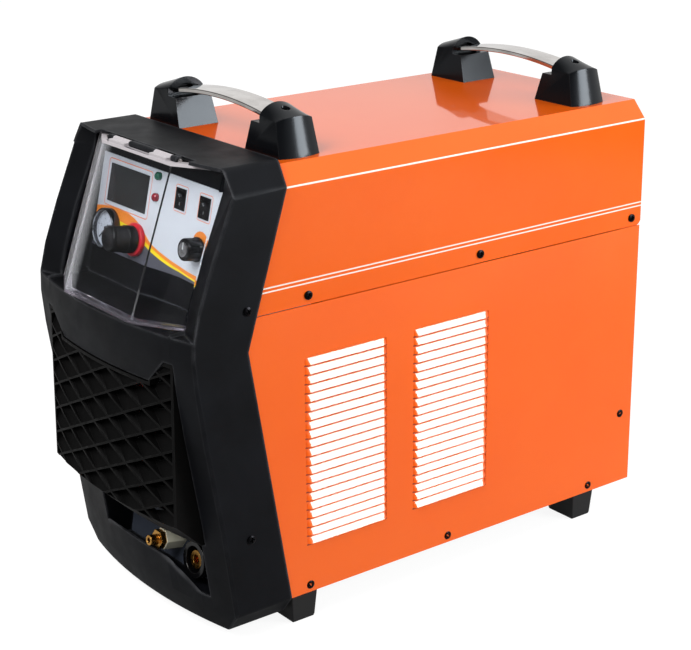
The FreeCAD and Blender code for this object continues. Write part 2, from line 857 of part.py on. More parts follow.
def make_top_cover():
    """The painted cover: one folded sheet over the top with a bevel along each edge."""
    low = seam_z + seam_gap / 2
    turn_side = sheet * math.tan((math.pi / 2 - bevel_lean()) / 2)
    turn_top = sheet * math.tan(bevel_lean() / 2)
    outline = [(half, low), (half, fold_z), (top_half, top_z),
               (-top_half, top_z), (-half, fold_z), (-half, low)]
    inset = [(half - sheet, low - 1), (half - sheet, fold_z - turn_side),
             (top_half - turn_top, top_z - sheet), (-top_half + turn_top, top_z - sheet),
             (-half + sheet, fold_z - turn_side), (-half + sheet, low - 1)]
    hood = prism_y(outline, edge_nose_y - 20, cover_back)
    inside = prism_y(inset, edge_nose_y - 21, cover_back + 1)
    hood = hood.cut([inside, ahead_of_edge(0, low - 5, bezel_high + 5)])
    corner = prism_x([(cover_back - cover_clip, low - 1), (cover_back + 1, low - 1),
                      (cover_back + 1, low + cover_clip + 1)], -case_width, case_width)
    holes = [screw_hole(side, y, height) for side in (1, -1) for y, height in cover_screw_places()]
    add("top_cover", hood.cut([corner] + holes))


def side_hole(side, x, y, height):
    """A screw's clearance hole through a sheet whose outer face is at x."""
    return rod(screw_radius + screw_clearance, 12, V(side * (x - 8), y, base_z + height), V(side, 0, 0))


def screw_hole(side, y, height):
    """A screw's clearance hole through every sheet at one side of the case."""
    return side_hole(side, half, y, height)


def make_side_panel(side):
    """A flat painted sheet with two columns of pressed louvres."""
    high = seam_z - seam_gap / 2
    outline = [(edge_foot_y, base_z), (panel_back, base_z), (panel_back, high),
               (edge_line(high), high), (edge_nose_y, nose_z)]
    places = [(y0, y1, base_z + louvre_bottom + k * louvre_pitch)
              for y0, y1 in louvre_columns for k in range(louvre_count)]
    hoods = [louvre(y0, y1, z, 0) for y0, y1, z in places]
    slots = [louvre(y0, y1, z, louvre_skin) for y0, y1, z in places]
    holes = [screw_hole(1, y, height) for y, height in side_screw_places()]
    panel = prism_x(outline, half - sheet, half).fuse(hoods).cut(slots).cut(holes)
    return panel if side > 0 else mirrored(panel)


def louvre(y0, y1, z, skin):
    """The outside of one pressed hood, or its hollow, which is open at the lower edge."""
    top = z + louvre_height - skin * 1.6
    out = half + louvre_proud - skin
    low = z - (0.5 if skin else 0)
    inner = half - (sheet + 1 if skin else sheet / 2)
    outline = [(inner, low), (out, low), (half - skin * 0.4, top), (inner, top)]
    face = polygon([V(x, y0 + skin, h) for x, h in outline])
    return face.extrude(V(0, y1 - y0 - 2 * skin, 0))


def pan_screw(start, direction):
    """A pan head screw: its head stands on the sheet and its shank runs inwards."""
    head = Part.makeCone(screw_head, screw_head * 0.72, screw_head_tall, start, direction)
    return head.fuse(rod(screw_radius, screw_long, start - direction * screw_long, direction))


def make_screws():
    """All the case screws, and the screws that close the handle heads."""
    places = [(half, y, height) for y, height in side_screw_places() + cover_screw_places()]
    places += [(bezel_half, y, height) for y, height in bezel_screw_places()]
    screws = [pan_screw(V(side * x, y, base_z + height), V(side, 0, 0))
              for side in (1, -1) for x, y, height in places]
    add("case_screws", Part.makeCompound(screws))
    heads = [rod(head_screw_radius, head_screw_tall, V(side * head_screw_x, y, screw_seat()), UP)
             for y in post_ys for side in (1, -1)]
    add("handle_screws", Part.makeCompound(heads))


def post_plan(height):
    """A level slice of a post, narrower higher up, its outer end bowed in plan."""
    share = height / post_rise
    deep = post_deep / 2 - post_draft * share
    inner = post_inner + post_lean_in * share
    outer = post_outer - post_bow - post_lean_out * share
    z = top_z + height
    corners = [V(inner, -deep, z), V(outer, -deep, z), V(outer, deep, z), V(inner, deep, z)]
    bow = Part.Arc(corners[1], V(outer + post_bow, 0, z), corners[2]).toShape()
    return Part.Wire([Part.makeLine(corners[0], corners[1]), bow,
                      Part.makeLine(corners[2], corners[3]), Part.makeLine(corners[3], corners[0])])


def crown_height(x):
    """Height of a post's roof over the case top, which falls from the mouth outwards."""
    return post_rise - post_fall * (x - strap_mouth) / (post_outer - strap_mouth)


def screw_seat():
    """The z of the bottom of the bore that a head screw sits in."""
    return top_z + crown_height(head_screw_x) - head_screw_deep


def arch(x, reach, spring, crown):
    """An upright slice across a post: straight sides and an arched top."""
    corners = [V(x, -reach, top_z), V(x, -reach, top_z + spring), V(x, reach, top_z + spring),
               V(x, reach, top_z)]
    bow = Part.Arc(corners[1], V(x, 0, top_z + crown), corners[2]).toShape()
    return Part.Wire([Part.makeLine(corners[0], corners[1]), bow,
                      Part.makeLine(corners[2], corners[3]), Part.makeLine(corners[3], corners[0])])


def post_roof(inset, x0, x1):
    """All that lies under a post's arched roof, between two places across the machine."""
    reach = post_deep / 2 - inset
    return Part.makeLoft([arch(x, reach, post_shoulder - inset, crown_height(x) - inset) for x in (x0, x1)],
                         True, True)


def strap_body(grow, end):
    """The arched strap, or the pocket that its end goes into, grown by a clearance."""
    seat = top_z + strap_seat - grow
    crown = top_z + strap_crown - strap_thick - grow
    thick = strap_thick + 2 * grow
    low = Part.Arc(V(-end, 0, seat), V(0, 0, crown), V(end, 0, seat)).toShape()
    high = Part.Arc(V(end, 0, seat + thick), V(0, 0, crown + thick), V(-end, 0, seat + thick)).toShape()
    right = Part.makeLine(V(end, 0, seat), V(end, 0, seat + thick))
    left = Part.makeLine(V(-end, 0, seat + thick), V(-end, 0, seat))
    wide = strap_wide + 2 * grow
    section = Part.Face(Part.Wire([low, right, high, left]))
    return section.extrude(V(0, wide, 0)).translated(V(0, -wide / 2, 0))


def make_post():
    """A handle post: a step on its inner side, and an arched head with a mouth for the strap."""
    deep = post_deep / 2
    post = Part.makeLoft([post_plan(0), post_plan(post_rise + 1)], True, True)
    post = post.common(post_roof(0, post_inner - 1, post_outer + 1))
    step = box(post_inner - 1, strap_mouth, -deep, deep, top_z + post_step, top_z + post_rise + 5)
    mouth = post_roof(mouth_wall + post_draft, strap_mouth - 1, strap_mouth + mouth_deep)
    mouth = mouth.common(box(0, case_width, -deep, deep, top_z + post_step, top_z + post_rise))
    bore = rod(head_screw_radius + 0.8, 30, V(head_screw_x, 0, screw_seat()), UP)
    return post.cut([step, mouth, strap_body(fit_gap, strap_end + fit_gap), bore])


def make_handles():
    """Four moulded posts and two arched steel straps."""
    post = make_post()
    for name, y in zip(("front", "rear"), post_ys):
        add(name + "_right_post", post.translated(V(0, y, 0)))
        add(name + "_left_post", mirrored(post).translated(V(0, y, 0)))
        add(name + "_handle_strap", strap_body(0, strap_end).translated(V(0, y, 0)))


def make_feet():
    """Four tapered rubber feet under the tray."""
    for end, y in (("front", front_foot_y), ("rear", rear_foot_y)):
        for name, side in (("left", -1), ("right", 1)):
            x = side * (half - foot_inset - foot_width / 2)
            wires = []
            for z, shrink in ((0.0, foot_taper), (3.0, foot_taper - 0.8), (base_z, 0.0)):
                w, d = foot_width / 2 - shrink, foot_length / 2 - shrink
                wires.append(Part.makePolygon([V(x - w, y - d, z), V(x + w, y - d, z), V(x + w, y + d, z),
                                               V(x - w, y + d, z), V(x - w, y - d, z)]))
            add(end + "_" + name + "_foot", Part.makeLoft(wires, True, True))


def centred(x, up, wide, tall, low, high):
    """A block round a point of the panel, between two heights out of it."""
    return box(x - wide / 2, x + wide / 2, up - tall / 2, up + tall / 2, low, high)


def stub(radius, low, high, x=0.0, up=0.0):
    """A round bar that points out of the panel, between two heights out of it."""
    return rod(radius, high - low, V(x, up, low), UP)


def make_control_panel():
    """The tilted panel sheet with a hole for each control."""
    plate = box(-panel_half, panel_half, 0, panel_tall, -panel_sheet, 0)
    cuts = [centred(display_x, display_up, display_wide, display_tall, -5, 5)]
    cuts += [centred(x, rocker_up, rocker_wide, rocker_tall, -5, 5) for x in rocker_xs]
    cuts += [stub(lamp_radius + panel_fit, -5, 5, lamp_x, up) for up in lamp_ups]
    cuts.append(stub(bush_radius + panel_fit, -5, 5, current_x, current_up))
    cuts.append(stub(ring_radius - ring_wide / 2, -5, 5, regulator_x, regulator_up))
    cuts.append(stub(gauge_neck_radius + panel_fit, -5, 5, gauge_x, gauge_up))
    add("control_panel", on_panel(plate.cut(cuts), 0, 0))


def make_display():
    """The display behind its window, and the two lamps beside it."""
    screen = centred(0, 0, display_wide - 0.4, display_tall - 0.4, -display_deep, 0.6)
    flange = centred(0, 0, display_wide + 4, display_tall + 4, -panel_sheet - 2, -panel_sheet)
    add("display_module", on_panel(screen.fuse(flange), display_x, display_up))
    dome = Part.makeCone(lamp_radius, lamp_radius - lamp_dome, lamp_dome, V(0, 0, lamp_out), UP)
    lens = stub(lamp_radius, -7, lamp_out).fuse(dome)
    add("indicator_lamps", Part.makeCompound([on_panel(lens, lamp_x, up) for up in lamp_ups]))


def make_rockers():
    """Two rocker switches: a hollow frame with two pins, and a bent key on each."""
    wide, tall = rocker_wide - 0.4, rocker_tall - 0.4
    room = wide / 2 - rocker_wall
    pin_long = rocker_gap + rocker_key_lap
    frame = fuse([centred(0, 0, wide, tall, -rocker_deep, 0),
                  centred(0, 0, wide + 2 * rocker_rim, tall + 2 * rocker_rim, 0, rocker_rim_tall)])
    frame = frame.cut(centred(0, 0, 2 * room, tall - 2, -rocker_deep / 2, rocker_rim_tall + 1))
    frame = frame.fuse([rod(rocker_pin_radius, pin_long, V(x, 0, rocker_pivot), V(1, 0, 0))
                        for x in (room - pin_long, -room)])
    add("rocker_housings", Part.makeCompound([on_panel(frame, x, rocker_up) for x in rocker_xs]))

    key_half = room - rocker_gap
    reach = tall / 2 - 1.6
    rise = 1.9
    outline = [(-reach, rise + 0.6), (0, rise - 0.6), (reach, rise + 0.6),
               (reach, rise - 2.2), (0, rise - 5.0), (-reach, rise - 2.2)]
    key = prism_x(outline, -key_half, key_half)
    key = key.fuse(rod(2.2, 2 * key_half, V(-key_half, 0, rocker_pivot), V(1, 0, 0)))
    key = key.cut(rod(rocker_pin_radius + shaft_running, 2 * key_half + 2, V(-key_half - 1, 0, rocker_pivot),
                      V(1, 0, 0)))
    key.rotate(V(0, 0, rocker_pivot), V(1, 0, 0), rocker_swing / 2)
    add("air_test_rocker", on_panel(key, rocker_xs[0], rocker_up))
    add("mode_rocker", on_panel(key, rocker_xs[1], rocker_up))


def make_current_knob():
    """The potentiometer behind the panel, the fluted knob on its shaft and the knob's cap."""
    pot = stub(12.0, -14.5, -4.5).fuse(stub(bush_radius, -6, 2))
    pot = pot.cut(stub(shaft_radius + shaft_running, -12, 8))
    add("potentiometer", on_panel(pot, current_x, current_up))
    body = current_radius - 0.8
    skirt = ring(current_radius, bush_radius + 0.8, 3.0, V(0, 0, knob_gap), UP)
    crown = Part.makeCone(body, body - 1.2, 1.2, V(0, 0, current_long), UP)
    knob = fuse([skirt, stub(body, knob_gap + 2.5, current_long), crown])
    turns = [math.radians(360 / flute_count * k) for k in range(flute_count)]
    reach = current_radius + 0.1
    flutes = [stub(flute_radius, knob_gap + 3.2, current_long + 5, reach * math.cos(a), reach * math.sin(a))
              for a in turns]
    knob = knob.cut(flutes).fuse(stub(shaft_radius, -11.5, knob_gap + 4))
    add("current_knob", on_panel(knob, current_x, current_up))
    add("knob_cap", on_panel(stub(cap_radius, current_long + 1.2, current_long + 2), current_x, current_up))


def make_regulator():
    """The air regulator's body, the red ring on the panel and the long knob with its spindle."""
    neck = ring_radius - ring_wide / 2 - 0.6
    body = fuse([stub(17, -30, -4.5), stub(neck, -4.5, 0), centred(0, 0, 40, 36, -58, -30)])
    body = body.fuse(rod(bowl_radius, bowl_long, V(0, -16, -44), V(0, -1, 0)))
    body = body.cut(stub(spindle_radius + shaft_running, -34, 1))
    add("air_regulator", on_panel(body, regulator_x, regulator_up))
    add("regulator_ring", on_panel(ring(ring_radius, ring_radius - ring_wide, ring_thick, V(0, 0, 0), UP),
                                   regulator_x, regulator_up))
    start = ring_thick + 0.4
    end = start + regulator_long - 2
    body = regulator_radius - 0.7
    grip = fuse([stub(body, start, end), stub(regulator_radius, start, start + 9),
                 Part.makeCone(body, body - 2, 2.0, V(0, 0, end), UP)])
    grip = grip.fuse(stub(spindle_radius, -32, start + 1))
    add("regulator_knob", on_panel(grip, regulator_x, regulator_up))


def make_gauge():
    """The pressure gauge: case, dial, needle and lens."""
    inside = gauge_radius - gauge_rim
    case = stub(gauge_radius, 0, gauge_deep).cut(stub(inside, dial_seat, gauge_deep + 1))
    case = fuse([case, stub(gauge_neck_radius, -14, 0), stub(5, -26, -14)])
    add("gauge_case", on_panel(case, gauge_x, gauge_up))
    dial = ring(inside - panel_fit, 1.0, dial_thick, V(0, 0, dial_seat), UP)
    add("gauge_dial", on_panel(dial, gauge_x, gauge_up))
    blade = dial_seat + dial_thick + 0.4
    needle = prism_z([(-1.2, -5), (1.2, -5), (0.4, needle_long), (-0.4, needle_long)], blade, blade + 0.6)
    needle = fuse([needle, stub(2.2, blade - 0.1, blade + 1.3), stub(0.9, dial_seat, blade)])
    needle.rotate(V(0, 0, 0), UP, needle_rest)
    add("gauge_needle", on_panel(needle, gauge_x, gauge_up))
    add("gauge_lens", on_panel(stub(inside, gauge_deep - 2.2, gauge_deep - 0.7), gauge_x, gauge_up))


def make_connectors():
    """The connector plate, the torch fitting and the output socket."""
    lean = math.cos(math.radians(plate_tilt))
    low = (bay_floor_height - bezel_wall - plate_height) / lean
    high = (bay_roof_height + bezel_wall - plate_height) / lean
    plate = box(bay_left - bezel_wall, bay_right + bezel_wall, low, high, -plate_sheet, 0)
    torch_hole = torch_radius + torch_hole_gap
    socket_hole = socket_radius - socket_lap
    holes = [on_plate(stub(torch_hole, -10, 10), torch_x, torch_height),
             on_plate(stub(socket_hole, -10, 10), socket_x, socket_height)]
    add("connector_plate", on_plate(plate, 0, plate_height).cut(holes))

    insulator = hexagon(torch_hex, torch_long).fuse(stub(torch_hole - 0.1, -8, 1))
    add("torch_insulator", on_plate(insulator.cut(stub(torch_radius + 0.1, -20, 40)), torch_x, torch_height))
    nut = hexagon(torch_nut_hex, torch_nut_long)
    nut.translate(V(0, 0, torch_long))
    front = torch_long + torch_nut_long
    end = front + torch_tube_long
    fitting = fuse([stub(torch_radius, -14, torch_long), nut, stub(torch_tube_radius, front, end)])
    fitting = fitting.cut(stub(torch_bore_radius, -14, end))
    add("torch_fitting", on_plate(fitting, torch_x, torch_height))

    shell = stub(socket_radius, 0, socket_long).fuse(stub(socket_hole - 0.1, -12, 0))
    shell = shell.cut([stub(socket_bore_radius, 2, socket_long + 2), stub(contact_radius + 0.2, -20, 20)])
    add("output_socket", on_plate(shell, socket_x, socket_height))
    contact = stub(contact_radius, -18, contact_long).cut(stub(contact_bore_radius, -2, contact_long))
    add("socket_contact", on_plate(contact, socket_x, socket_height))


def turned_back(shape, x, height):
    """Turns a piece drawn along +Z to point backwards, and seats it on the rear panel."""
    placed = shape.copy()
    placed.rotate(V(0, 0, 0), V(1, 0, 0), -90)
    placed.translate(V(x, back_y, base_z + height))
    return placed


def make_fan():
    """The cooling fan: square frame with three motor arms, and a bladed rotor on its shaft."""
    z = base_z + fan_height
    back = back_y - sheet
    front = back - fan_deep
    square = fan_square / 2
    frame = box(-square, square, front, back, z - square, z + square)
    tunnel = rod(fan_bore, fan_deep + 2, V(0, front - 1, z), BACK)
    rim = square - 2 * fan_flange
    low, high = front + fan_flange, back - fan_flange
    core = box(-rim, rim, low, high, z - square - 1, z + square + 1)
    sides = box(-square - 1, square + 1, low, high, z - rim, z + rim)
    frame = frame.cut([tunnel, core.fuse(sides)])
    arms = []
    for k in range(3):
        arm = box(-fan_arm, fan_arm, front, front + fan_arm, z, z + fan_bore + 1)
        arm.rotate(V(0, 0, z), BACK, 120 * k + 30)
        arms.append(arm)
    duct = ring(fan_bore + fan_flange, fan_bore, fan_deep, V(0, front, z), BACK)
    motor = rod(fan_hub - fan_arm, fan_motor_long, V(0, front, z), BACK)
    rotor_y = front + fan_motor_long + fan_rotor_gap
    rotor_end = back - fan_rotor_back_gap
    shaft = rod(fan_shaft_radius, rotor_end - fan_shaft_short - front, V(0, front, z), BACK)
    add("fan_frame", frame.fuse([duct, motor, shaft] + arms))
    make_fan_rotor(rotor_y, rotor_end, z)


def make_fan_rotor(y, end, z):
    """The fan's rotor: a hub with a blind bore for the shaft, and twisted blades."""
    reach = fan_bore - fan_tip_gap
    hub = rod(fan_hub, end - y, V(0, y, z), BACK)
    blades = []
    for k in range(fan_blades):
        root = [V(-2, y + 1, z + fan_hub - 3), V(3, y + 1, z + fan_hub - 3),
                V(26, y + 25, z + fan_hub - 9), V(21, y + 25, z + fan_hub - 9)]
        tip = [V(-12, y + 3, z + reach - 4), V(-9, y + 3, z + reach - 4),
               V(24, y + 24, z + reach - 8), V(21, y + 24, z + reach - 8)]
        ends = [Part.makePolygon(corners + [corners[0]]) for corners in (root, tip)]
        blade = Part.makeLoft(ends, True, True)
        blade.rotate(V(0, 0, z), BACK, 360 / fan_blades * k)
        blades.append(blade)
    rotor = hub.fuse(blades).common(rod(reach, fan_deep, V(0, y - 1, z), BACK))
    bore = rod(fan_shaft_radius + fan_shaft_running, end - fan_shaft_short + 2 - y, V(0, y - 1, z), BACK)
    add("fan_rotor", rotor.cut(bore))


def make_fan_guard():
    """The wire guard over the fan: rings, four spokes and four ears."""
    z = base_z + fan_height
    reach = fan_bore + 2
    ear = fan_square / 2 - 12
    wires = [ring(reach / guard_rings * k, reach / guard_rings * k - guard_ring_wide, guard_thick,
                  V(0, back_y, z), BACK) for k in range(1, guard_rings + 1)]
    for k in range(4):
        spoke = box(-guard_ring_wide / 2, guard_ring_wide / 2, back_y, back_y + guard_thick,
                    z, z + ear * math.sqrt(2))
        spoke.rotate(V(0, 0, z), BACK, 45 + 90 * k)
        wires.append(spoke)
    for x, dz in ((ear, ear), (ear, -ear), (-ear, ear), (-ear, -ear)):
        wires.append(rod(guard_ear, guard_thick, V(x, back_y, z + dz), BACK))
    add("fan_guard", wires[0].fuse(wires[1:]).removeSplitter())


def make_breaker():
    """The mains breaker: a framed body with a lever on a cross pin."""
    z = base_z + breaker_height
    wide, tall = breaker_wide / 2, breaker_tall / 2
    lap = breaker_lap + fit_gap
    axle_y = back_y - breaker_nose
    body = box(breaker_x - wide + lap, breaker_x + wide - lap, back_y - breaker_deep,
               back_y + breaker_nose, z - tall + lap, z + tall - lap)
    body = body.fuse(box(breaker_x - wide, breaker_x + wide, back_y, back_y + breaker_flange, z - tall,
                         z + tall))
    body = body.cut(box(breaker_x - lever_room, breaker_x + lever_room,
                        back_y - 16, back_y + 8, z - 15, z + 15))
    axle = rod(lever_pivot_radius, 2 * lever_room, V(breaker_x - lever_room, axle_y, z), V(1, 0, 0))
    add("breaker_body", body.fuse(axle))
    reach = lever_room - lever_side_gap
    hub = rod(7.5, 2 * reach, V(breaker_x - reach, axle_y, z), V(1, 0, 0))
    paddle = box(breaker_x - reach + 3, breaker_x + reach - 3, axle_y, axle_y + lever_long, z - 3, z + 3)
    bore = rod(lever_pivot_radius + lever_running, 2 * reach + 2,
               V(breaker_x - reach - 1, axle_y, z), V(1, 0, 0))
    lever = hub.fuse(paddle).cut(bore)
    lever.rotate(V(breaker_x, axle_y, z), V(1, 0, 0), -lever_swing / 2)
    add("breaker_lever", lever)


def make_rear_fittings():
    """The mains cable entry, the air nipple and the earth bolt."""
    nut = hexagon(2 * gland_radius - 2, 6)
    cone = Part.makeCone(gland_radius - 2, gland_radius - 5, gland_long - 6, V(0, 0, 6), UP)
    nut = fuse([nut, stub(gland_radius - 4, -9, 3), cone]).cut(stub(gland_bore_radius, -20, 40))
    add("cable_gland", turned_back(nut, gland_x, gland_height))
    inlet = hexagon(17, 6).fuse(stub(inlet_radius, -14, inlet_long))
    add("air_inlet", turned_back(inlet.cut(stub(inlet_bore_radius, -20, 40)), inlet_x, inlet_height))
    stud = hexagon(13, 6).fuse(stub(earth_radius, -8, earth_long))
    add("earth_stud", turned_back(stud, earth_x, earth_height))


def make_power_works():
    """Finned heatsinks, the main board with its capacitors, transformer and choke."""
    floor = base_z + sheet
    top = floor + sink_tall
    left, right = sink_x - sink_wide / 2, sink_x + sink_wide / 2
    front, back = sink_y - sink_long / 2, sink_y + sink_long / 2
    gap = (sink_wide - 2 * sink_edge) / (2 * sink_fins + 1)
    starts = [left + sink_edge + gap * (2 * k + 1) for k in range(sink_fins)]
    slots = [box(x, x + gap, front - 1, back + 1, floor + 8, top - 12) for x in starts]
    sink = box(left, right, front, back, floor, top).cut(slots)
    add("heatsinks", Part.makeCompound([sink, mirrored(sink)]))
    add("main_board", box(-board_wide / 2, board_wide / 2, sink_y - board_long / 2,
                          sink_y + board_long / 2, top, top + board_thick))
    places = [V(side * (can_radius + 4), sink_y + (k - 1.5) * can_pitch, top + board_thick)
              for k in range(4) for side in (1, -1)]
    cans = [rod(can_radius, can_tall, place, UP) for place in places]
    add("capacitors", Part.makeCompound(cans))

    limb, yoke = core_limb / 2, core_limb / 2
    window = core_wide / 2 - yoke
    core = box(-core_wide / 2, core_wide / 2, core_y - core_deep / 2, core_y + core_deep / 2, floor,
               floor + core_tall)
    core = core.cut(both_sides(limb, window, lambda x0, x1: box(
        x0, x1, core_y - core_deep, core_y + core_deep, floor + yoke, floor + core_tall - yoke)))
    add("transformer_core", core)
    reach, side = window - fit_gap, limb + fit_gap
    deep = core_deep / 2 + fit_gap
    winding = box(-reach, reach, core_y - deep - coil_margin, core_y + deep + coil_margin,
                  floor + yoke + fit_gap, floor + core_tall - yoke - fit_gap)
    winding = winding.cut(box(-side, side, core_y - deep, core_y + deep, floor, floor + core_tall))
    add("transformer_windings", winding)
    add("output_choke", ring(choke_radius, choke_radius * 0.4, choke_tall, V(choke_x, choke_y, floor), UP))


def make_air_works():
    """The air valve behind the nipple, and the tubes on to the regulator."""
    lift = base_z + inlet_height
    valve_back = valve_y + valve_long
    block = box(inlet_x - valve_size / 2, inlet_x + valve_size / 2, valve_y, valve_back, base_z + sheet,
                lift + valve_size / 2)
    coil = rod(valve_size * 0.4, 28, V(inlet_x, (valve_y + valve_back) / 2, lift + valve_size / 2), UP)
    add("solenoid_valve", block.fuse(coil))
    rear_tube = rod(tube_radius, back_y - 14 - valve_back, V(inlet_x, valve_back, lift), BACK)
    high = base_z + tube_height
    route = [V(inlet_x, valve_y, lift), V(inlet_x, tube_turn_y, lift), V(inlet_x, tube_turn_y, high),
             V(tube_drop_x, tube_turn_y, high), V(tube_drop_x, tube_end_y, high),
             V(regulator_x - 20, tube_end_y, high)]
    add("air_tube", Part.makeCompound([rear_tube, elbowed_bar(route, tube_radius)]))


def make_control_board():
    """The control board on four spacers behind the front frame."""
    shelf = frame_front + sheet
    low, high = base_z + control_low, base_z + control_low + control_tall
    front = shelf + control_lift
    board = box(control_left, control_right, front, front + board_thick, low, high)
    spacers = [rod(spacer_radius, control_lift + 0.5, V(x, shelf, z), BACK)
               for x in (control_left + spacer_inset, control_right - spacer_inset)
               for z in (low + spacer_inset, high - spacer_inset)]
    add("control_board", board.fuse(spacers))


def main():
    """Makes every piece, moves all of them along y together and writes them out."""
    os.makedirs("parts", exist_ok=True)
    make_tray()
    make_front_frame()
    make_rear_panel()
    make_top_cover()
    add("left_side_panel", make_side_panel(-1))
    add("right_side_panel", make_side_panel(1))
    add("front_bezel", make_bezel())
    add("front_grille", make_grille())
    add("window_cover", make_window_cover())
    pin_long = 2 * (knuckle_end + hinge_pin_end)
    add("cover_hinge_pin", rod(hinge_pin_radius, pin_long, V(-pin_long / 2, hinge_y, base_z + hinge_height),
                               V(1, 0, 0)))
    make_control_panel()
    make_display()
    make_rockers()
    make_current_knob()
    make_regulator()
    make_gauge()
    make_connectors()
    make_handles()
    make_feet()
    make_screws()
    make_fan()
    make_fan_guard()
    make_breaker()
    make_rear_fittings()
    make_power_works()
    make_air_works()
    make_control_board()
    front = min([grille_front_bottom] + [y for height, y in bezel_profile])
    rear = max(cover_back, back_y + inlet_long, back_y + gland_long, back_y + earth_long)
    middle = (front + rear) / 2
    print("moved along y by", round(-middle, 3), "length", round(rear - front, 2))
    for name, shape in parts.items():
        shape.translate(V(0, -middle, 0))
        shape.exportStep("parts/" + name + ".step")
    print(len(parts), "pieces")


main()
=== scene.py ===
# %% [markdown]
# # A plasma cutter's power unit
# The real machine is a painted steel box with a black moulded front, a clear cover over the
# controls, and two steel strap handles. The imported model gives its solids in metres, with the
# front towards -Y and the floor at z = 0. This notebook dresses those solids: it softens their
# edges, makes finer pieces where the eye looks closely, and gives every surface its finish.

# %% Load the frame
import json
import math
import bmesh
import bpy
import numpy as np
from mathutils import Matrix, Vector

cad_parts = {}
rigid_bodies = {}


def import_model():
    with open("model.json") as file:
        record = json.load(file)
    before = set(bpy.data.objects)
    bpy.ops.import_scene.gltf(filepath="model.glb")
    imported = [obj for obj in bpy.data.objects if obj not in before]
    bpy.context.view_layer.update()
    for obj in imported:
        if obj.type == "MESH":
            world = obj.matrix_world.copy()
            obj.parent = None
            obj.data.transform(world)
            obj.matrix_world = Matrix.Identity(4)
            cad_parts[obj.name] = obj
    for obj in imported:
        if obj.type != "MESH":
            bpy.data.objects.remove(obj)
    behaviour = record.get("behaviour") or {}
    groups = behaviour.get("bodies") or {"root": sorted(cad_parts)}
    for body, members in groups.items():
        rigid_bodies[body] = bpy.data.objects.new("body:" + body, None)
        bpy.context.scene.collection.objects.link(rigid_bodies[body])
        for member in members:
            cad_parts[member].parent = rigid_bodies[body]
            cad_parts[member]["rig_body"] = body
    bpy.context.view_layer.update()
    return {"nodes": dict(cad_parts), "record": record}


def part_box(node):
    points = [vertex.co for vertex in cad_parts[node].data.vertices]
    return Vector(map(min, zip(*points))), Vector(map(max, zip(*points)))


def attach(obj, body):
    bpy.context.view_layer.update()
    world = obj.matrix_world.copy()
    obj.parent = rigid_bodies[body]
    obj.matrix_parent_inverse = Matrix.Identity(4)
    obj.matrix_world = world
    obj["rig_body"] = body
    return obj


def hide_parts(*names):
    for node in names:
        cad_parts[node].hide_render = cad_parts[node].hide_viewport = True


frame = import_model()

mm = 0.001

# %% [markdown]
# The first few helpers serve every piece. A surface is a grid of points worked out as whole
# numpy arrays, and a grid needs only a rule that joins neighbouring points into faces. Each
# finished piece goes onto the body that carries it.

# %% Helpers for pieces
double_gap = 1e-6          # points nearer than a thousandth of a millimetre are one point
flat_turn = 0.4            # degrees: faces that turn by less are one flat face
backward_look = 0.9        # a normal's Y over this looks back, against the case
least_weight = 0.1         # a short edge still gets this share of a bevel


def grid_faces(rows, columns, wrap_rows=False, wrap_columns=False):
    """Four neighbours (i, j), (i+1, j), (i+1, j+1), (i, j+1) make one face, for every i and j."""
    last_row, last_column = rows - (not wrap_rows), columns - (not wrap_columns)
    i, j = np.meshgrid(np.arange(last_row), np.arange(last_column), indexing="ij")
    i_next, j_next = (i + 1) % rows, (j + 1) % columns
    corners = [i * columns + j, i_next * columns + j, i_next * columns + j_next, i * columns + j_next]
    return np.stack(corners, axis=-1).reshape(-1, 4)


def smooth_below(mesh, degrees):
    """Shades a mesh smooth, apart from edges that turn by more than an angle."""
    mesh.polygons.foreach_set("use_smooth", np.ones(len(mesh.polygons), dtype=bool))
    mesh.set_sharp_from_angle(angle=math.radians(degrees))
    mesh.update()


def new_piece(name, points, faces, material, slot, body="machine", degrees=35, close=True):
    """Makes a mesh from points and faces, merges doubles, turns it outwards and puts it on its body.

    Its open edges are marked sharp, so a wall thickened from it later keeps a crisp rim.
    """
    mesh = bpy.data.meshes.new(name)
    corners = [list(map(int, face)) for face in faces]
    mesh.from_pydata(np.asarray(points).reshape(-1, 3).tolist(), [], corners)
    work = bmesh.new()
    work.from_mesh(mesh)
    bmesh.ops.remove_doubles(work, verts=work.verts, dist=double_gap)
    bmesh.ops.dissolve_degenerate(work, edges=work.edges, dist=double_gap / 10)
    work.edges.index_update()
    if close:
        bmesh.ops.recalc_face_normals(work, faces=work.faces)
    rims = [edge.index for edge in work.edges if edge.is_boundary]
    work.to_mesh(mesh)
    work.free()
    mesh.materials.append(material)
    smooth_below(mesh, degrees)
    for index in rims:
        mesh.edges[index].use_edge_sharp = True
    piece = bpy.data.objects.new(name, mesh)
    bpy.context.scene.collection.objects.link(piece)
    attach(piece, body)
    return piece


def add_modifier(piece, kind, **settings):
    """Adds one modifier with its settings."""
    modifier = piece.modifiers.new(kind.title(), kind)
    for key, value in settings.items():
        setattr(modifier, key, value)
    return modifier


def node_slot(node):
    """The record's slot that a node's material carries."""
    return frame["nodes"][node].data.materials[0].name.split(".")[0]


def weigh_edges(work, turn, long, width):
    """Bevel weights: the least of 1, length over a long edge's, and a third of the narrower face over width.

    Edges of faces that look backwards stay sharp.
    """
    layer = work.edges.layers.float.new("bevel_weight_edge")
    for edge in work.edges:
        backward = max((face.normal.y for face in edge.link_faces), default=0) > backward_look
        if edge.is_manifold and not backward and edge.calc_face_angle() > math.radians(turn):
            length = edge.calc_length()
            room = min(face.calc_area() for face in edge.link_faces) / length
            edge[layer] = min(1.0, max(least_weight, min(length / long, room / (3 * width))))


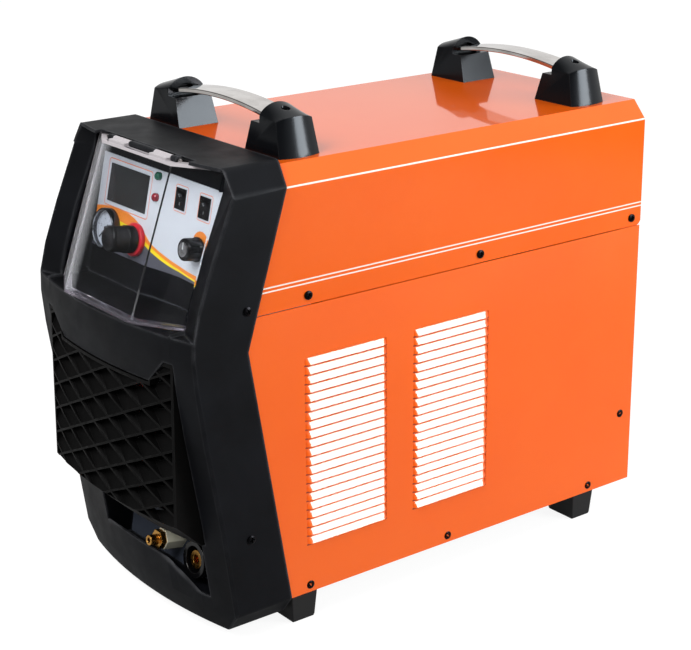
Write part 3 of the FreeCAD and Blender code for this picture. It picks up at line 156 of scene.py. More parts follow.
def softened(node, material, width, segments=2, turn=28, long=None):
    """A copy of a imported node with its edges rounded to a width, which then stands for the node."""
    source = frame["nodes"][node]
    mesh = source.data.copy()
    mesh.name = node + "_soft"
    work = bmesh.new()
    work.from_mesh(mesh)
    bmesh.ops.remove_doubles(work, verts=work.verts, dist=double_gap)
    bmesh.ops.dissolve_limit(work, angle_limit=math.radians(flat_turn), verts=work.verts, edges=work.edges)
    if long:
        weigh_edges(work, turn, long, width)
    work.to_mesh(mesh)
    work.free()
    mesh.materials.clear()
    mesh.materials.append(material)
    smooth_below(mesh, turn)
    piece = bpy.data.objects.new(node + "_soft", mesh)
    bpy.context.scene.collection.objects.link(piece)
    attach(piece, source["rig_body"])
    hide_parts(node)
    add_modifier(piece, "BEVEL", width=width, segments=segments, limit_method="WEIGHT" if long else "ANGLE",
                 angle_limit=math.radians(turn), harden_normals=True)
    return piece


def soften_all(rows):
    """Softens several nodes, each with its finish, width in millimetres and number of segments."""
    for nodes, finish, width, segments in rows:
        for node in nodes.split():
            softened(node, finish, width * mm, segments)
    return sum(len(nodes.split()) for nodes, *_ in rows)


slot_names = [m["slot"] for m in frame["record"]["materials"]]
slot_of = {name: node_slot(name) for name in frame["nodes"]}
print("slots of the nodes:", sorted(set(slot_of.values())))
assert set(slot_of.values()) <= set(slot_names)

# %% [markdown]
# A finish is a small tree of nodes in front of one shader. These helpers keep each tree short:
# one makes a node and joins it to what it is given, one does arithmetic, and one colours.
# Colours are written as the eye reads them, from 0 to 255, and turned into light values.

# %% Helpers for finishes
def colour(red, green, blue):
    """sRGB to linear: c/12.92 below 0.04045, and ((c + 0.055)/1.055) to the power 2.4 above it."""
    share = np.array([red, green, blue]) / 255
    linear = np.where(share <= 0.04045, share / 12.92, ((share + 0.055) / 1.055) ** 2.4)
    return (*linear.tolist(), 1.0)


def make_node(tree, kind, inputs=None, **settings):
    """Makes a node; an input is either another node's socket or a plain value."""
    made = tree.nodes.new("ShaderNode" + kind)
    for key, value in settings.items():
        setattr(made, key, value)
    for key, value in (inputs or {}).items():
        if isinstance(value, bpy.types.NodeSocket):
            tree.links.new(value, made.inputs[key])
        else:
            made.inputs[key].default_value = value
    return made


def calc(tree, operation, first, second=0.0, clamp=False):
    """One step of arithmetic on values."""
    return make_node(tree, "Math", {0: first, 1: second}, operation=operation, use_clamp=clamp).outputs[0]


def blend(tree, share, first, second):
    """Mixes two colours by a share from 0 to 1."""
    mix = make_node(tree, "Mix", {0: share}, data_type="RGBA")
    for key, value in ((6, first), (7, second)):
        if isinstance(value, bpy.types.NodeSocket):
            tree.links.new(value, mix.inputs[key])
        else:
            mix.inputs[key].default_value = value
    return mix.outputs[2]


def below(tree, value, edge, soft):
    """1 where a value is under an edge, 0 above it, and a ramp of a soft width between them."""
    step = calc(tree, "SUBTRACT", edge, value)
    return calc(tree, "ADD", calc(tree, "DIVIDE", step, soft), 0.5, clamp=True)


def start_finish(name, **sockets):
    """A new material; constant values go straight onto the shader's own sockets."""
    material = bpy.data.materials.new(name)
    material.use_nodes = True
    tree = material.node_tree
    shader = tree.nodes["Principled BSDF"]
    for key, value in sockets.items():
        shader.inputs[key.replace("_", " ")].default_value = value
    place = make_node(tree, "TexCoord").outputs["Object"]
    return material, tree, shader, place


def noise(tree, place, scale, detail=3.0, roughness=0.55):
    """Soft grey noise in the piece's own space, scale in turns per metre."""
    inputs = {"Vector": place, "Scale": scale, "Detail": detail, "Roughness": roughness}
    return make_node(tree, "TexNoise", inputs).outputs["Fac"]


def spread(tree, value, low, high, out_low, out_high):
    """Carries a value from one range to another, held at the ends."""
    inputs = {0: value, 1: low, 2: high, 3: out_low, 4: out_high}
    return make_node(tree, "MapRange", inputs).outputs[0]


def ramp(tree, value, ends):
    """The same, with the range given as two pairs of (value, outcome)."""
    (low, out_low), (high, out_high) = ends
    return spread(tree, value, low, high, out_low, out_high)


def dent(tree, shader, height, distance, strength):
    """Bump: the height in shares of a distance tilts the surface."""
    bump = make_node(tree, "Bump", {"Height": height, "Distance": distance, "Strength": strength})
    tree.links.new(bump.outputs[0], shader.inputs["Normal"])


def edge_wear(tree, radius, low=0.002, high=0.12):
    """0 on flat faces and up to 1 at edges: how far a rounded normal leans away from the true one."""
    rounded = make_node(tree, "Bevel", {"Radius": radius}, samples=4).outputs[0]
    true = make_node(tree, "NewGeometry").outputs["Normal"]
    lean = make_node(tree, "VectorMath", {0: rounded, 1: true}, operation="DOT_PRODUCT").outputs["Value"]
    return spread(tree, calc(tree, "SUBTRACT", 1.0, lean), low, high, 0.0, 1.0)


# %% [markdown]
# ## Camera, floor and light
# The camera stands where the picture was taken from: to the right of the front, a little above
# the top, with a long lens. Its place came from matching the corners of the case. The backdrop
# and the floor are white to the eye and dimmer in mirrored rays, so the glossy sides keep their
# colour. A soft lamp at the right and behind gives the side its even light, and its reflection
# is what turns the louvres' sloping tops nearly white. Another, high in front, lights the panel,
# and a weak one at the left, not mirrored, keeps that side out of the dark.

# %% Camera
camera_place = (1.348146, -1.032480, 0.813029)
camera_forward = np.array([-0.74960, 0.57929, -0.32018])
camera_up = np.array([-0.24991, 0.20023, 0.94734])
picture_width = 691
focal_pixels = 1740.9
centre_x, centre_y = 12.9, -7.9


def aim(thing, forward, up):
    """Turns an object so that its -Z looks forward and its +Y up: its unit axes are a matrix's columns."""
    forward = np.asarray(forward, dtype=float) / np.linalg.norm(forward)
    right = np.cross(forward, up)
    right /= np.linalg.norm(right)
    matrix = np.eye(4)
    matrix[:3, 0], matrix[:3, 1], matrix[:3, 2] = right, np.cross(right, forward), -forward
    matrix[:3, 3] = thing.location
    thing.matrix_world = Matrix(matrix.tolist())


camera_data = bpy.data.cameras.new("camera")
camera = bpy.data.objects.new("camera", camera_data)
bpy.context.scene.collection.objects.link(camera)
camera_data.sensor_width = 36
camera_data.lens = 36 * focal_pixels / picture_width
camera_data.shift_x = -centre_x / picture_width
camera_data.shift_y = centre_y / picture_width
camera_data.clip_end = 50
camera.location = camera_place
aim(camera, camera_forward, camera_up)
bpy.context.scene.camera = camera
bpy.context.scene.view_settings.view_transform = "Standard"
print("lens", round(camera_data.lens, 2), "mm")

# %% Floor and world
floor_reach, floor_tone = 6.0, (0.16, 0.16, 0.16, 1)
floor_seen = 0.9                                      # the glow that the camera sees, 1 is white
floor_mirrored = ((-0.4, 0.35), (0.6, 0.04))          # X and the glow that gloss sees there
backdrop_mirrored = ((-0.1, 0.12), (0.4, 0.8))        # the same along Y: a dim room in front, white behind
room_light = 0.55                                     # the even light that falls on the machine


def make_floor():
    """A wide square at z = 0, white to the camera but still darkened by the machine's shadow."""
    points = [(x * floor_reach, y * floor_reach, 0) for x, y in ((-1, -1), (1, -1), (1, 1), (-1, 1))]
    mesh = bpy.data.meshes.new("floor")
    mesh.from_pydata(points, [], [(0, 1, 2, 3)])
    floor = bpy.data.objects.new("floor", mesh)
    bpy.context.scene.collection.objects.link(floor)
    material, tree, shader, place = start_finish("floor_white", Roughness=0.9, Base_Color=floor_tone)
    ray = make_node(tree, "LightPath").outputs
    across = make_node(tree, "SeparateXYZ", {0: place}).outputs["X"]
    mirrored = calc(tree, "MULTIPLY", ray["Is Glossy Ray"], ramp(tree, across, floor_mirrored))
    strength = make_node(tree, "Mix", {0: ray["Is Camera Ray"], 2: mirrored, 3: floor_seen}).outputs[0]
    glow = make_node(tree, "Emission", {"Color": (1, 1, 1, 1), "Strength": strength})
    both = make_node(tree, "AddShader", {0: shader.outputs[0], 1: glow.outputs[0]})
    tree.links.new(both.outputs[0], tree.nodes["Material Output"].inputs["Surface"])
    mesh.materials.append(material)


def make_world():
    """White to the camera and through clear plastic; mirrored, white behind the machine and dim in front."""
    world = bpy.data.worlds.new("studio")
    world.use_nodes = True
    tree = world.node_tree
    ray = make_node(tree, "LightPath").outputs
    unmirrored = calc(tree, "SUBTRACT", 1.0, ray["Glossy Depth"], clamp=True)
    through = calc(tree, "MULTIPLY", ray["Is Transmission Ray"], unmirrored)
    seen = calc(tree, "MAXIMUM", ray["Is Camera Ray"], through)
    mirrored = calc(tree, "SUBTRACT", 1.0, unmirrored)
    direction = make_node(tree, "TexCoord").outputs["Generated"]
    ahead = make_node(tree, "SeparateXYZ", {0: direction}).outputs["Y"]
    backdrop = ramp(tree, ahead, backdrop_mirrored)
    room = make_node(tree, "Mix", {0: mirrored, 2: room_light, 3: backdrop}).outputs[0]
    strength = make_node(tree, "Mix", {0: seen, 2: room, 3: 1.0}).outputs[0]
    tree.links.new(strength, tree.nodes["Background"].inputs["Strength"])
    tree.nodes["Background"].inputs["Color"].default_value = (1, 1, 1, 1)
    bpy.context.scene.world = world


make_floor()
make_world()

# %% Lamps
def make_lamp(name, target, direction, distance, size, brightness):
    """A square soft lamp. Its power is pi x area x brightness, so brightness 1 mirrors as white."""
    data = bpy.data.lights.new(name, "AREA")
    data.shape = "SQUARE"
    data.size = size
    data.energy = math.pi * size * size * brightness
    lamp = bpy.data.objects.new(name, data)
    bpy.context.scene.collection.objects.link(lamp)
    direction = np.array(direction) / np.linalg.norm(direction)
    lamp.location = np.array(target) + direction * distance
    aim(lamp, -direction, (0, 0, 1) if abs(direction[2]) < 0.9 else (0, 1, 0))
    lamp.visible_camera = False
    return lamp


louvre_middle, front_middle, left_middle = (0.14, -0.06, 0.19), (0, -0.3, 0.3), (-0.14, 0, 0.22)
lamp_rows = (    # name, target, direction, distance, size, brightness, mirrored or not
    ("side_lamp", louvre_middle, (0.753, 0.579, 0.312), 1.9, 0.82, 12.9, True),
    ("front_lamp", front_middle, (0.2, -0.66, 0.72), 2.6, 1.4, 8.6, True),
    ("left_lamp", left_middle, (-0.95, -0.05, 0.25), 2.2, 1.2, 3.4, False))
for *row, is_mirrored in lamp_rows:
    make_lamp(*row).visible_glossy = is_mirrored

# %% [markdown]
# ## Finishes
# The case is powder coated and clear glossy: a thin even colour with a faint orange-peel ripple
# under a coat that mirrors the room at low angles. White pinstripes run along the cover, so the
# paint measures its place across and up the machine to know where they lie.

# %% Orange paint
stripes_at = ((432.0 * mm, 0.75 * mm), (340.4 * mm, 0.65 * mm), (344.2 * mm, 0.65 * mm))    # height, half width
stripe_soft = 0.25 * mm
louvre_pitch, louvre_count, louvre_bottom = 9.0 * mm, 21, 82.5 * mm
louvre_columns = ((-159.75 * mm, -64.25 * mm), (-30.75 * mm, 64.75 * mm))


def louvre_grime(tree, axes):
    """Painted shade in the crease under each lip: 1 over 0.85 of the height of a pitch, inside a louvre column.
    """
    pitches = calc(tree, "DIVIDE", calc(tree, "SUBTRACT", axes["Z"], louvre_bottom), louvre_pitch)
    share = calc(tree, "FRACT", pitches)
    crease = below(tree, calc(tree, "SUBTRACT", 1.0, share), 0.15, 0.03)
    level = calc(tree, "SUBTRACT", axes["Z"], louvre_bottom + louvre_pitch * (louvre_count - 1) / 2)
    crease = calc(tree, "MULTIPLY", crease, below(
        tree, calc(tree, "ABSOLUTE", level), louvre_pitch * (louvre_count - 0.5) / 2, 1 * mm))
    near = 0.0
    for start, end in louvre_columns:
        away = calc(tree, "ABSOLUTE", calc(tree, "SUBTRACT", axes["Y"], (start + end) / 2))
        near = calc(tree, "ADD", below(tree, away, (end - start) / 2 + 0.6 * mm, 1 * mm), near)
    return calc(tree, "MULTIPLY", crease, near)


def add_stripes(tree, paint, axes):
    """White lines wherever |z - height| is under a line's half width, on faces that look sideways."""
    lines = None
    for height, half_wide in stripes_at:
        away = calc(tree, "ABSOLUTE", calc(tree, "SUBTRACT", axes["Z"], height))
        line = below(tree, away, half_wide, stripe_soft)
        lines = line if lines is None else calc(tree, "MAXIMUM", lines, line)
    normal = make_node(tree, "NewGeometry").outputs["Normal"]
    sideways = make_node(tree, "SeparateXYZ", {0: normal}).outputs["X"]
    on_side = spread(tree, calc(tree, "ABSOLUTE", sideways), 0.55, 0.6, 0.0, 1.0)
    return blend(tree, calc(tree, "MULTIPLY", lines, on_side), paint, colour(250, 243, 232))


def make_paint(name, dark, pale, stripes, gloss):
    """Glossy enamel in two close tones under a clear coat, with stripes or with painted shade under the
    louvres' lips.
    """
    material, tree, shader, place = start_finish(
        name, Roughness=0.34, Coat_Weight=1.0, Coat_Roughness=0.04, Coat_IOR=gloss, Specular_IOR_Level=0.05)
    cloud = noise(tree, place, 9.0)
    paint = blend(tree, spread(tree, cloud, 0.3, 0.7, 0.0, 1.0), dark, pale)
    axes = make_node(tree, "SeparateXYZ", {0: place}).outputs
    if stripes:
        paint = add_stripes(tree, paint, axes)
    else:
        # Painted shade: a darker orange in the crease under each louvre lip.
        paint = blend(tree, louvre_grime(tree, axes), paint, colour(150, 40, 8))
    near_edge = edge_wear(tree, 0.6 * mm)
    chips = calc(tree, "MULTIPLY", near_edge, spread(tree, noise(tree, place, 160.0, 6.0), 0.62, 0.72, 0.0, 0.6))
    paint = blend(tree, chips, paint, colour(150, 72, 34))
    tree.links.new(paint, shader.inputs["Base Color"])
    peel = noise(tree, place, 420.0, 1.0)
    dent(tree, shader, peel, 0.02 * mm, 0.35)
    return material


cover_paint = make_paint("orange_paint_striped", colour(245, 98, 4), colour(247, 103, 12), True, 1.52)
side_paint = make_paint("orange_paint", colour(252, 99, 0), colour(254, 104, 6), False, 1.75)
print("paint", cover_paint.name, side_paint.name)

# %% [markdown]
# The front is injection moulded in black with a fine spark-eroded grain. Its rounded edges are
# painted a little paler, partly as handling wear and partly as a painted highlight along them, and
# dust lies in the grain in soft clouds. The same recipe, with other numbers, gives the satin posts,
# the rubber feet and the glossy switches.

# %% Black plastics and rubber
def make_plastic(name, dark, pale, grain, depth, rough, edge=0.5, specular=0.5, edge_width=1.4, vary=0.06,
                 ior=1.5, sheen_tone=(1, 1, 1, 1)):
    """Moulded plastic: two tones in clouds, a fine cellular grain, and paler edges: wear and a painted
    highlight.

    The grain is in cells per metre, its depth and the width of an edge in millimetres.
    """
    material, tree, shader, place = start_finish(
        name, Specular_IOR_Level=specular, Specular_Tint=sheen_tone, IOR=ior)
    clouds = spread(tree, noise(tree, place, 14.0, 6.0, 0.6), 0.35, 0.72, 0.0, 1.0)
    tone = blend(tree, clouds, dark, pale)
    # Paler edges: partly handling wear, partly a painted highlight along the rounded edges.
    if edge:
        near_edge = edge_wear(tree, edge_width * mm)
        patchy = spread(tree, noise(tree, place, 60.0, 4.0), 0.3, 0.7, 0.25, 1.0)
        rubbed_and_lit_edge = calc(tree, "MULTIPLY", calc(tree, "MULTIPLY", near_edge, patchy), edge)
        lighter = tuple(min(1.0, 3.0 * c + 0.05) for c in pale[:3]) + (1.0,)
        tone = blend(tree, rubbed_and_lit_edge, tone, lighter)
    tree.links.new(tone, shader.inputs["Base Color"])
    cells = make_node(tree, "TexVoronoi", {"Vector": place, "Scale": grain}, feature="SMOOTH_F1")
    mottle = calc(tree, "ADD", cells.outputs["Distance"], noise(tree, place, grain * 0.4, 2.0))
    dent(tree, shader, mottle, depth * mm, 0.6)
    wear = spread(tree, noise(tree, place, 35.0, 5.0), 0.3, 0.7, rough - vary, rough + vary)
    tree.links.new(wear, shader.inputs["Roughness"])
    return material


bezel_plastic = make_plastic(
    "black_plastic", colour(8, 8, 10), colour(16, 17, 21), 900.0, 0.05, 0.5, edge=1.0, edge_width=4.0,
    ior=1.24, sheen_tone=(0.86, 0.92, 1, 1))
grille_plastic = make_plastic(
    "black_lattice", colour(4, 4, 4), colour(9, 8, 8), 900.0, 0.04, 0.55, edge=0.3, edge_width=0.6, ior=1.22)
post_plastic = make_plastic(
    "post_plastic", colour(7, 8, 10), colour(11, 12, 15), 1400.0, 0.01, 0.19, edge=0.25, specular=0.3,
    vary=0.015, sheen_tone=(0.82, 0.91, 1, 1))
switch_plastic = make_plastic(
    "switch_black", colour(8, 8, 9), colour(13, 13, 15), 1500.0, 0.01, 0.22, edge=0.2, vary=0.03)
rubber, dark_plastic, cream_plastic, red_plastic, tube_plastic = (
    make_plastic(name, colour(*dark), colour(*pale), grain, depth, rough, edge=edge)
    for name, dark, pale, grain, depth, rough, edge in (
        ("rubber", (10, 10, 11), (18, 18, 19), 700.0, 0.06, 0.62, 0.3),
        ("dark_plastic", (22, 22, 24), (32, 32, 34), 1200.0, 0.02, 0.45, 0.3),
        ("cream_plastic", (238, 234, 206), (246, 243, 222), 900.0, 0.02, 0.42, 0.0),
        ("red_plastic", (196, 26, 42), (214, 38, 52), 1300.0, 0.01, 0.3, 0.0),
        ("tube_plastic", (28, 84, 160), (36, 96, 172), 1300.0, 0.01, 0.35, 0.0)))
print("plastics", len([m for m in bpy.data.materials if "plastic" in m.name]))

# %% [markdown]
# Metals show how they were worked. Polishing and rolling leave fine scratches along the strap,
# turning leaves rings, and zinc plating leaves a faint spangle. Each is noise squeezed along one
# direction, used for both roughness and a shallow bump.

# %% Metals
def make_metal(name, tone, rough, scratch, scale, depth, tint=None, spots=0.0):
    """Bare metal: noise stretched by a vector of scales gives the scratches of its finish.

    The tone goes over to the tint in blotches, and spots make those rougher.
    """
    material, tree, shader, place = start_finish(name, Metallic=1.0)
    tone, tint = colour(*tone), colour(*(tint or tone))
    stretched = make_node(tree, "Mapping", {"Vector": place, "Scale": scratch}).outputs[0]
    lines = noise(tree, stretched, scale, 4.0)
    blotches = spread(tree, noise(tree, place, 40.0, 5.0), 0.35, 0.75, 0.0, 1.0)
    tree.links.new(blend(tree, blotches, tone, tint), shader.inputs["Base Color"])
    rough_now = spread(tree, lines, 0.25, 0.75, rough * 0.7, rough * 1.4)
    if spots:
        rough_now = calc(tree, "ADD", rough_now, calc(tree, "MULTIPLY", blotches, spots))
    tree.links.new(rough_now, shader.inputs["Roughness"])
    dent(tree, shader, lines, depth * mm, 0.4)
    return material


even = (1, 1, 1)
metals = {row[0]: make_metal(*row) for row in (
    ("polished_steel", (232, 228, 224), 0.07, (0.06, 1.0, 1.0), 900.0, 0.006, (190, 184, 180)),
    ("zinc_steel", (186, 188, 190), 0.32, even, 260.0, 0.01, (160, 163, 168), 0.1),
    ("gauge_metal", (92, 94, 98), 0.14, even, 700.0, 0.002),
    ("brass", (232, 176, 92), 0.26, (0.2, 1, 0.2), 1200.0, 0.008, (204, 144, 66)),
    ("aluminium", (196, 197, 200), 0.28, (1, 0.05, 1), 900.0, 0.008, (180, 182, 186)),
    ("spun_aluminium", (214, 212, 212), 0.2, even, 1400.0, 0.01),
    ("core_steel", (84, 84, 88), 0.4, (1, 0.04, 1), 1200.0, 0.02),
    ("copper", (186, 102, 52), 0.3, (0.04, 0.04, 1), 900.0, 0.03),
    ("screw_black", (30, 30, 33), 0.3, even, 900.0, 0.006, (22, 22, 24)))}
print("metals", sorted(metals))

# %% [markdown]
# The cover is clear moulded acrylic and the gauge and display have clear lenses. Real light
# passes through them, so shadow rays see them as open; the eye gets the full clear plastic with
# its highlights, a slight smoky tint and fine handling marks. On the cover, the bright strips
# that light gives on its top wall, left end and foot are painted in as a pale frost, and a
# grey film is painted over its left facet as its reflection.

# %% Clear plastics
cover_top, cover_wall = 450.5 * mm, 2.7 * mm
# Painted reflection: the foot's share of pale frost, and how much painted grey reflection lies over the left
# facet at each X.
foot_glare = 0.07
left_glare_film = ((-68 * mm, 0.3), (-42 * mm, 0.0))        # X and how much the film frosts there


def frosted_rim(tree, place):
    """Painted reflection on the cover as a pale frost, 0 to 1, and its foot: on its left end and top wall, a
    little on its foot, and as a grey film over its left facet.
    """
    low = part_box("window_cover")[0]
    axes = make_node(tree, "SeparateXYZ", {0: place}).outputs
    end = calc(tree, "LESS_THAN", axes["X"], low[0] + cover_wall)
    top = calc(tree, "GREATER_THAN", axes["Z"], cover_top - cover_wall)
    foot = calc(tree, "LESS_THAN", axes["Z"], low[2] + cover_wall)
    wall_glare = calc(tree, "MAXIMUM", calc(tree, "MULTIPLY", foot, foot_glare), top)
    left_glare = calc(tree, "MULTIPLY", ramp(tree, axes["X"], left_glare_film),
                spread(tree, noise(tree, place, 14.0, 3.0), 0.3, 0.7, 0.85, 1.1))
    return calc(tree, "MAXIMUM", calc(tree, "MAXIMUM", end, wall_glare), left_glare), foot


def make_clear(name, tint, rough, marks, painted_glare=False):
    """Clear plastic: light goes on through, the eye sees a refracting body with fine marks."""
    material, tree, shader, place = start_finish(
        name, Base_Color=tint, Transmission_Weight=1.0, IOR=1.3)
    smear = spread(tree, noise(tree, place, 18.0, 6.0, 0.65), 0.5, 0.8, rough, rough + marks)
    # Painted reflection: the pale frost and the grey film stand for the bright strips that light gives on the
    # cover's walls.
    if painted_glare:
        glare, foot = frosted_rim(tree, place)
        smear = calc(tree, "ADD", smear, calc(tree, "MULTIPLY", glare, 0.3))
        tree.links.new(spread(tree, glare, 0.0, 1.0, 1.0, 0.15), shader.inputs["Transmission Weight"])
        glare_tone = blend(tree, glare, tint, colour(200, 194, 197))
        tree.links.new(blend(tree, foot, glare_tone, colour(190, 183, 193)), shader.inputs["Base Color"])
    tree.links.new(smear, shader.inputs["Roughness"])
    dent(tree, shader, noise(tree, place, 30.0, 2.0), 0.02 * mm, 0.1)
    shadow = make_node(tree, "LightPath").outputs["Is Shadow Ray"]
    through = make_node(tree, "BsdfTransparent", {"Color": tint})
    both = make_node(tree, "MixShader", {0: shadow, 1: shader.outputs[0], 2: through.outputs[0]})
    tree.links.new(both.outputs[0], tree.nodes["Material Output"].inputs["Surface"])
    return material


cover_acrylic = make_clear("clear_cover", colour(236, 238, 241), 0.01, 0.03, painted_glare=True)
lens_clear = make_clear("lens_clear", colour(246, 248, 250), 0.0, 0.02)
print("clear", cover_acrylic.name, lens_clear.name)

# %% [markdown]
# The control panel is a printed sheet tilted back by 12.5 degrees. Its print is drawn in the
# panel's own millimetres, across from the middle and up from its lower edge: an orange wave with
# a yellow band below it and a grey foot, and thin orange frames round the display and switches.

# %% Printed panel
panel_tilt = math.radians(12.5)
panel_foot = np.array([0.0, -235.15, 337.0]) * mm
panel_up = np.array([0.0, math.sin(panel_tilt), math.cos(panel_tilt)])
panel_out = np.array([0.0, -math.cos(panel_tilt), math.sin(panel_tilt)])
display_place, display_frame = (-57.0, 64.8), (39.4, 22.6)
rocker_places, rocker_frame = ((33.3, 71.8), (74.0, 71.8)), (10.6, 12.6)
current_place = (75.0, 33.5)
regulator_place, regulator_radius, regulator_long = (-30.0, 20.5), 13.2, 26.6
gauge_place = (-80.0, 20.5)
print_half, print_top = 110.0, 60.0
print_bands = (   # each band's colour, and its upper edge as places (across, up)
    (colour(245, 140, 44), ((-110, 38), (-92, 41), (-62, 42.5), (-40, 39.5), (-20, 30.5), (-2, 21), (20, 14.6),
                            (45, 10), (72, 8.2), (110, 9))),
    (colour(250, 222, 20), ((-110, 28), (-90, 31), (-60, 31.2), (-35, 27.5), (-16, 22.4), (4, 15.8), (28, 9.4),
                            (52, 5.8), (80, 3.6), (110, 2.4))),
    (colour(84, 84, 94), ((-110, 22), (-90, 26.8), (-60, 27.2), (-35, 23.2), (-16, 18.6), (4, 12.0), (28, 6.6),
                          (52, 4.0), (80, 2.2), (110, 1.2))))


def on_panel(across, up, out=0.0):
    """Place on the panel, in millimetres: foot + across x X + up x (0, sin, cos) + out x (0, -cos, sin)."""
    across, up, out = np.broadcast_arrays(np.asarray(across, float), up, out)
    sideways = across[..., None] * np.array([1.0, 0, 0])
    return panel_foot + (sideways + up[..., None] * panel_up + out[..., None] * panel_out) * mm


def panel_measures(tree, place):
    """Across and up in millimetres: x, and the distance from the foot along the panel's up axis."""
    from_foot = make_node(tree, "VectorMath", {0: place, 1: tuple(panel_foot)}, operation="SUBTRACT").outputs[0]
    lift = make_node(tree, "VectorMath", {0: from_foot, 1: tuple(panel_up)}, operation="DOT_PRODUCT")
    across = make_node(tree, "SeparateXYZ", {0: place}).outputs["X"]
    return calc(tree, "DIVIDE", across, mm), calc(tree, "DIVIDE", lift.outputs["Value"], mm)


def wave(tree, across, stops):
    """A smooth line across the panel through a few chosen heights, in millimetres."""
    curve = make_node(tree, "FloatCurve", {"Value": spread(tree, across, -print_half, print_half, 0.0, 1.0)})
    line = curve.mapping.curves[0]
    places = [((x + print_half) / (2 * print_half), height / print_top) for x, height in stops]
    line.points[0].location, line.points[-1].location = places[0], places[-1]
    for x, height in places[1:-1]:
        line.points.new(x, height)
    curve.mapping.update()
    return calc(tree, "MULTIPLY", curve.outputs[0], print_top)


def frame_line(tree, across, up, middle, half_size, radius, half_wide):
    """Outline of a rounded box: |distance to the box less its radius - the radius| is under half_wide."""
    beyond = []
    for value, centre, half in ((across, middle[0], half_size[0]), (up, middle[1], half_size[1])):
        away = calc(tree, "ABSOLUTE", calc(tree, "SUBTRACT", value, centre))
        beyond.append(calc(tree, "SUBTRACT", away, half - radius))
    outside = [calc(tree, "POWER", calc(tree, "MAXIMUM", q, 0.0), 2.0) for q in beyond]
    corner = calc(tree, "SQRT", calc(tree, "ADD", outside[0], outside[1]))
    inside = calc(tree, "MINIMUM", calc(tree, "MAXIMUM", beyond[0], beyond[1]), 0.0)
    gap = calc(tree, "ABSOLUTE", calc(tree, "SUBTRACT", calc(tree, "ADD", corner, inside), radius))
    return below(tree, gap, half_wide, 0.25)


def disc(tree, across, up, middle, radius):
    """1 inside a circle: the distance to its middle is under its radius."""
    run = calc(tree, "POWER", calc(tree, "SUBTRACT", across, middle[0]), 2.0)
    rise = calc(tree, "POWER", calc(tree, "SUBTRACT", up, middle[1]), 2.0)
    return below(tree, calc(tree, "SQRT", calc(tree, "ADD", run, rise)), radius, 0.25)


def make_panel_print():
    """Satin white print with the wave, the frames and the scale round the current knob."""
    material, tree, shader, place = start_finish(
        "panel_face", Roughness=0.38, Coat_Weight=0.4, Coat_Roughness=0.2)
    across, up = panel_measures(tree, place)
    tone = blend(tree, noise(tree, place, 25.0), colour(205, 208, 213), colour(216, 219, 223))
    for band, stops in print_bands:
        tone = blend(tree, below(tree, up, wave(tree, across, stops), 0.5), tone, band)
    frames = frame_line(tree, across, up, display_place, display_frame, 3.0, 0.45)
    for middle in rocker_places:
        frames = calc(tree, "MAXIMUM", frames, frame_line(tree, across, up, middle, rocker_frame, 2.5, 0.35))
    tone = blend(tree, frames, tone, colour(236, 128, 74))
    scale = disc(tree, across, up, (current_place[0] - 0.5, current_place[1] + 3.0), 13.5)
    tone = blend(tree, scale, tone, colour(245, 140, 50))
    tree.links.new(tone, shader.inputs["Base Color"])
    dent(tree, shader, noise(tree, place, 900.0, 2.0), 0.01 * mm, 0.3)
    return material


panel_print = make_panel_print()
print("printed panel", panel_print.name)

# %% [markdown]
# A few finishes are left: the smoked display window, the two lamps, the white dial, the needle,
# the blue-grey connector plate and the green circuit boards.

# %% Other finishes
def make_satin(name, dark, pale, rough, scale, coat=0.0, depth=0.01):
    """Plain painted or cast surface with two close tones, a soft sheen and a fine ripple."""
    material, tree, shader, place = start_finish(name, Roughness=rough, Coat_Weight=coat, Coat_Roughness=0.05)
    tree.links.new(blend(tree, noise(tree, place, scale, 5.0), dark, pale), shader.inputs["Base Color"])
    dent(tree, shader, noise(tree, place, scale * 14, 2.0), depth * mm, 0.4)
    rough_now = spread(tree, noise(tree, place, scale * 2, 4.0), 0.3, 0.7, rough * 0.85, rough * 1.2)
    tree.links.new(rough_now, shader.inputs["Roughness"])
    return material


def make_lamps():
    """Tinted lamp lenses: the upper one green and the lower one red, told apart by height up the panel."""
    material, tree, shader, place = start_finish(
        "lamp_lens", Roughness=0.12, Coat_Weight=0.8, Coat_Roughness=0.03)
    across, up = panel_measures(tree, place)
    upper = below(tree, up, 76.0, 0.5)
    cloud = noise(tree, place, 300.0)
    green = blend(tree, cloud, colour(10, 84, 62), colour(20, 104, 78))
    red = blend(tree, cloud, colour(128, 20, 34), colour(150, 30, 44))
    tree.links.new(blend(tree, upper, green, red), shader.inputs["Base Color"])
    return material


display_smoke = make_satin("display_lens", colour(24, 27, 27), colour(38, 41, 40), 0.12, 30.0, 1.0, 0.004)
dial_white = make_satin("dial_white", colour(222, 224, 228), colour(232, 233, 236), 0.5, 60.0)
mark_black = make_satin("mark_black", colour(24, 24, 26), colour(34, 34, 36), 0.5, 90.0)
mark_white = make_satin("mark_white", colour(232, 232, 230), colour(240, 240, 238), 0.5, 90.0)
mark_grey = make_satin("mark_grey", colour(142, 144, 146), colour(156, 157, 159), 0.5, 90.0)
connector_paint = make_satin("connector_sheet", colour(62, 68, 80), colour(78, 84, 97), 0.42, 40.0)
board_green = make_satin("board", colour(28, 92, 58), colour(36, 108, 68), 0.4, 50.0, 0.5)
can_blue = make_satin("can_sleeve", colour(24, 30, 60), colour(30, 38, 74), 0.3, 60.0, 0.4)
lamp_lens = make_lamps()
print("finishes in all", len(bpy.data.materials))

# %% [markdown]
# ## The painted case
# The top cover is one folded sheet, so its folds are round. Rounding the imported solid's edges
# gives that at once. The side sheets are another matter: each louvre is a long hood pressed out
# of the sheet, with rounded ends and an open lower lip. A hood is a surface of two parameters,
# one along it and one down it, so it is worked out as such and repeated up the two columns.

# %% Top cover
softened("top_cover", cover_paint, 0.9 * mm, 3)

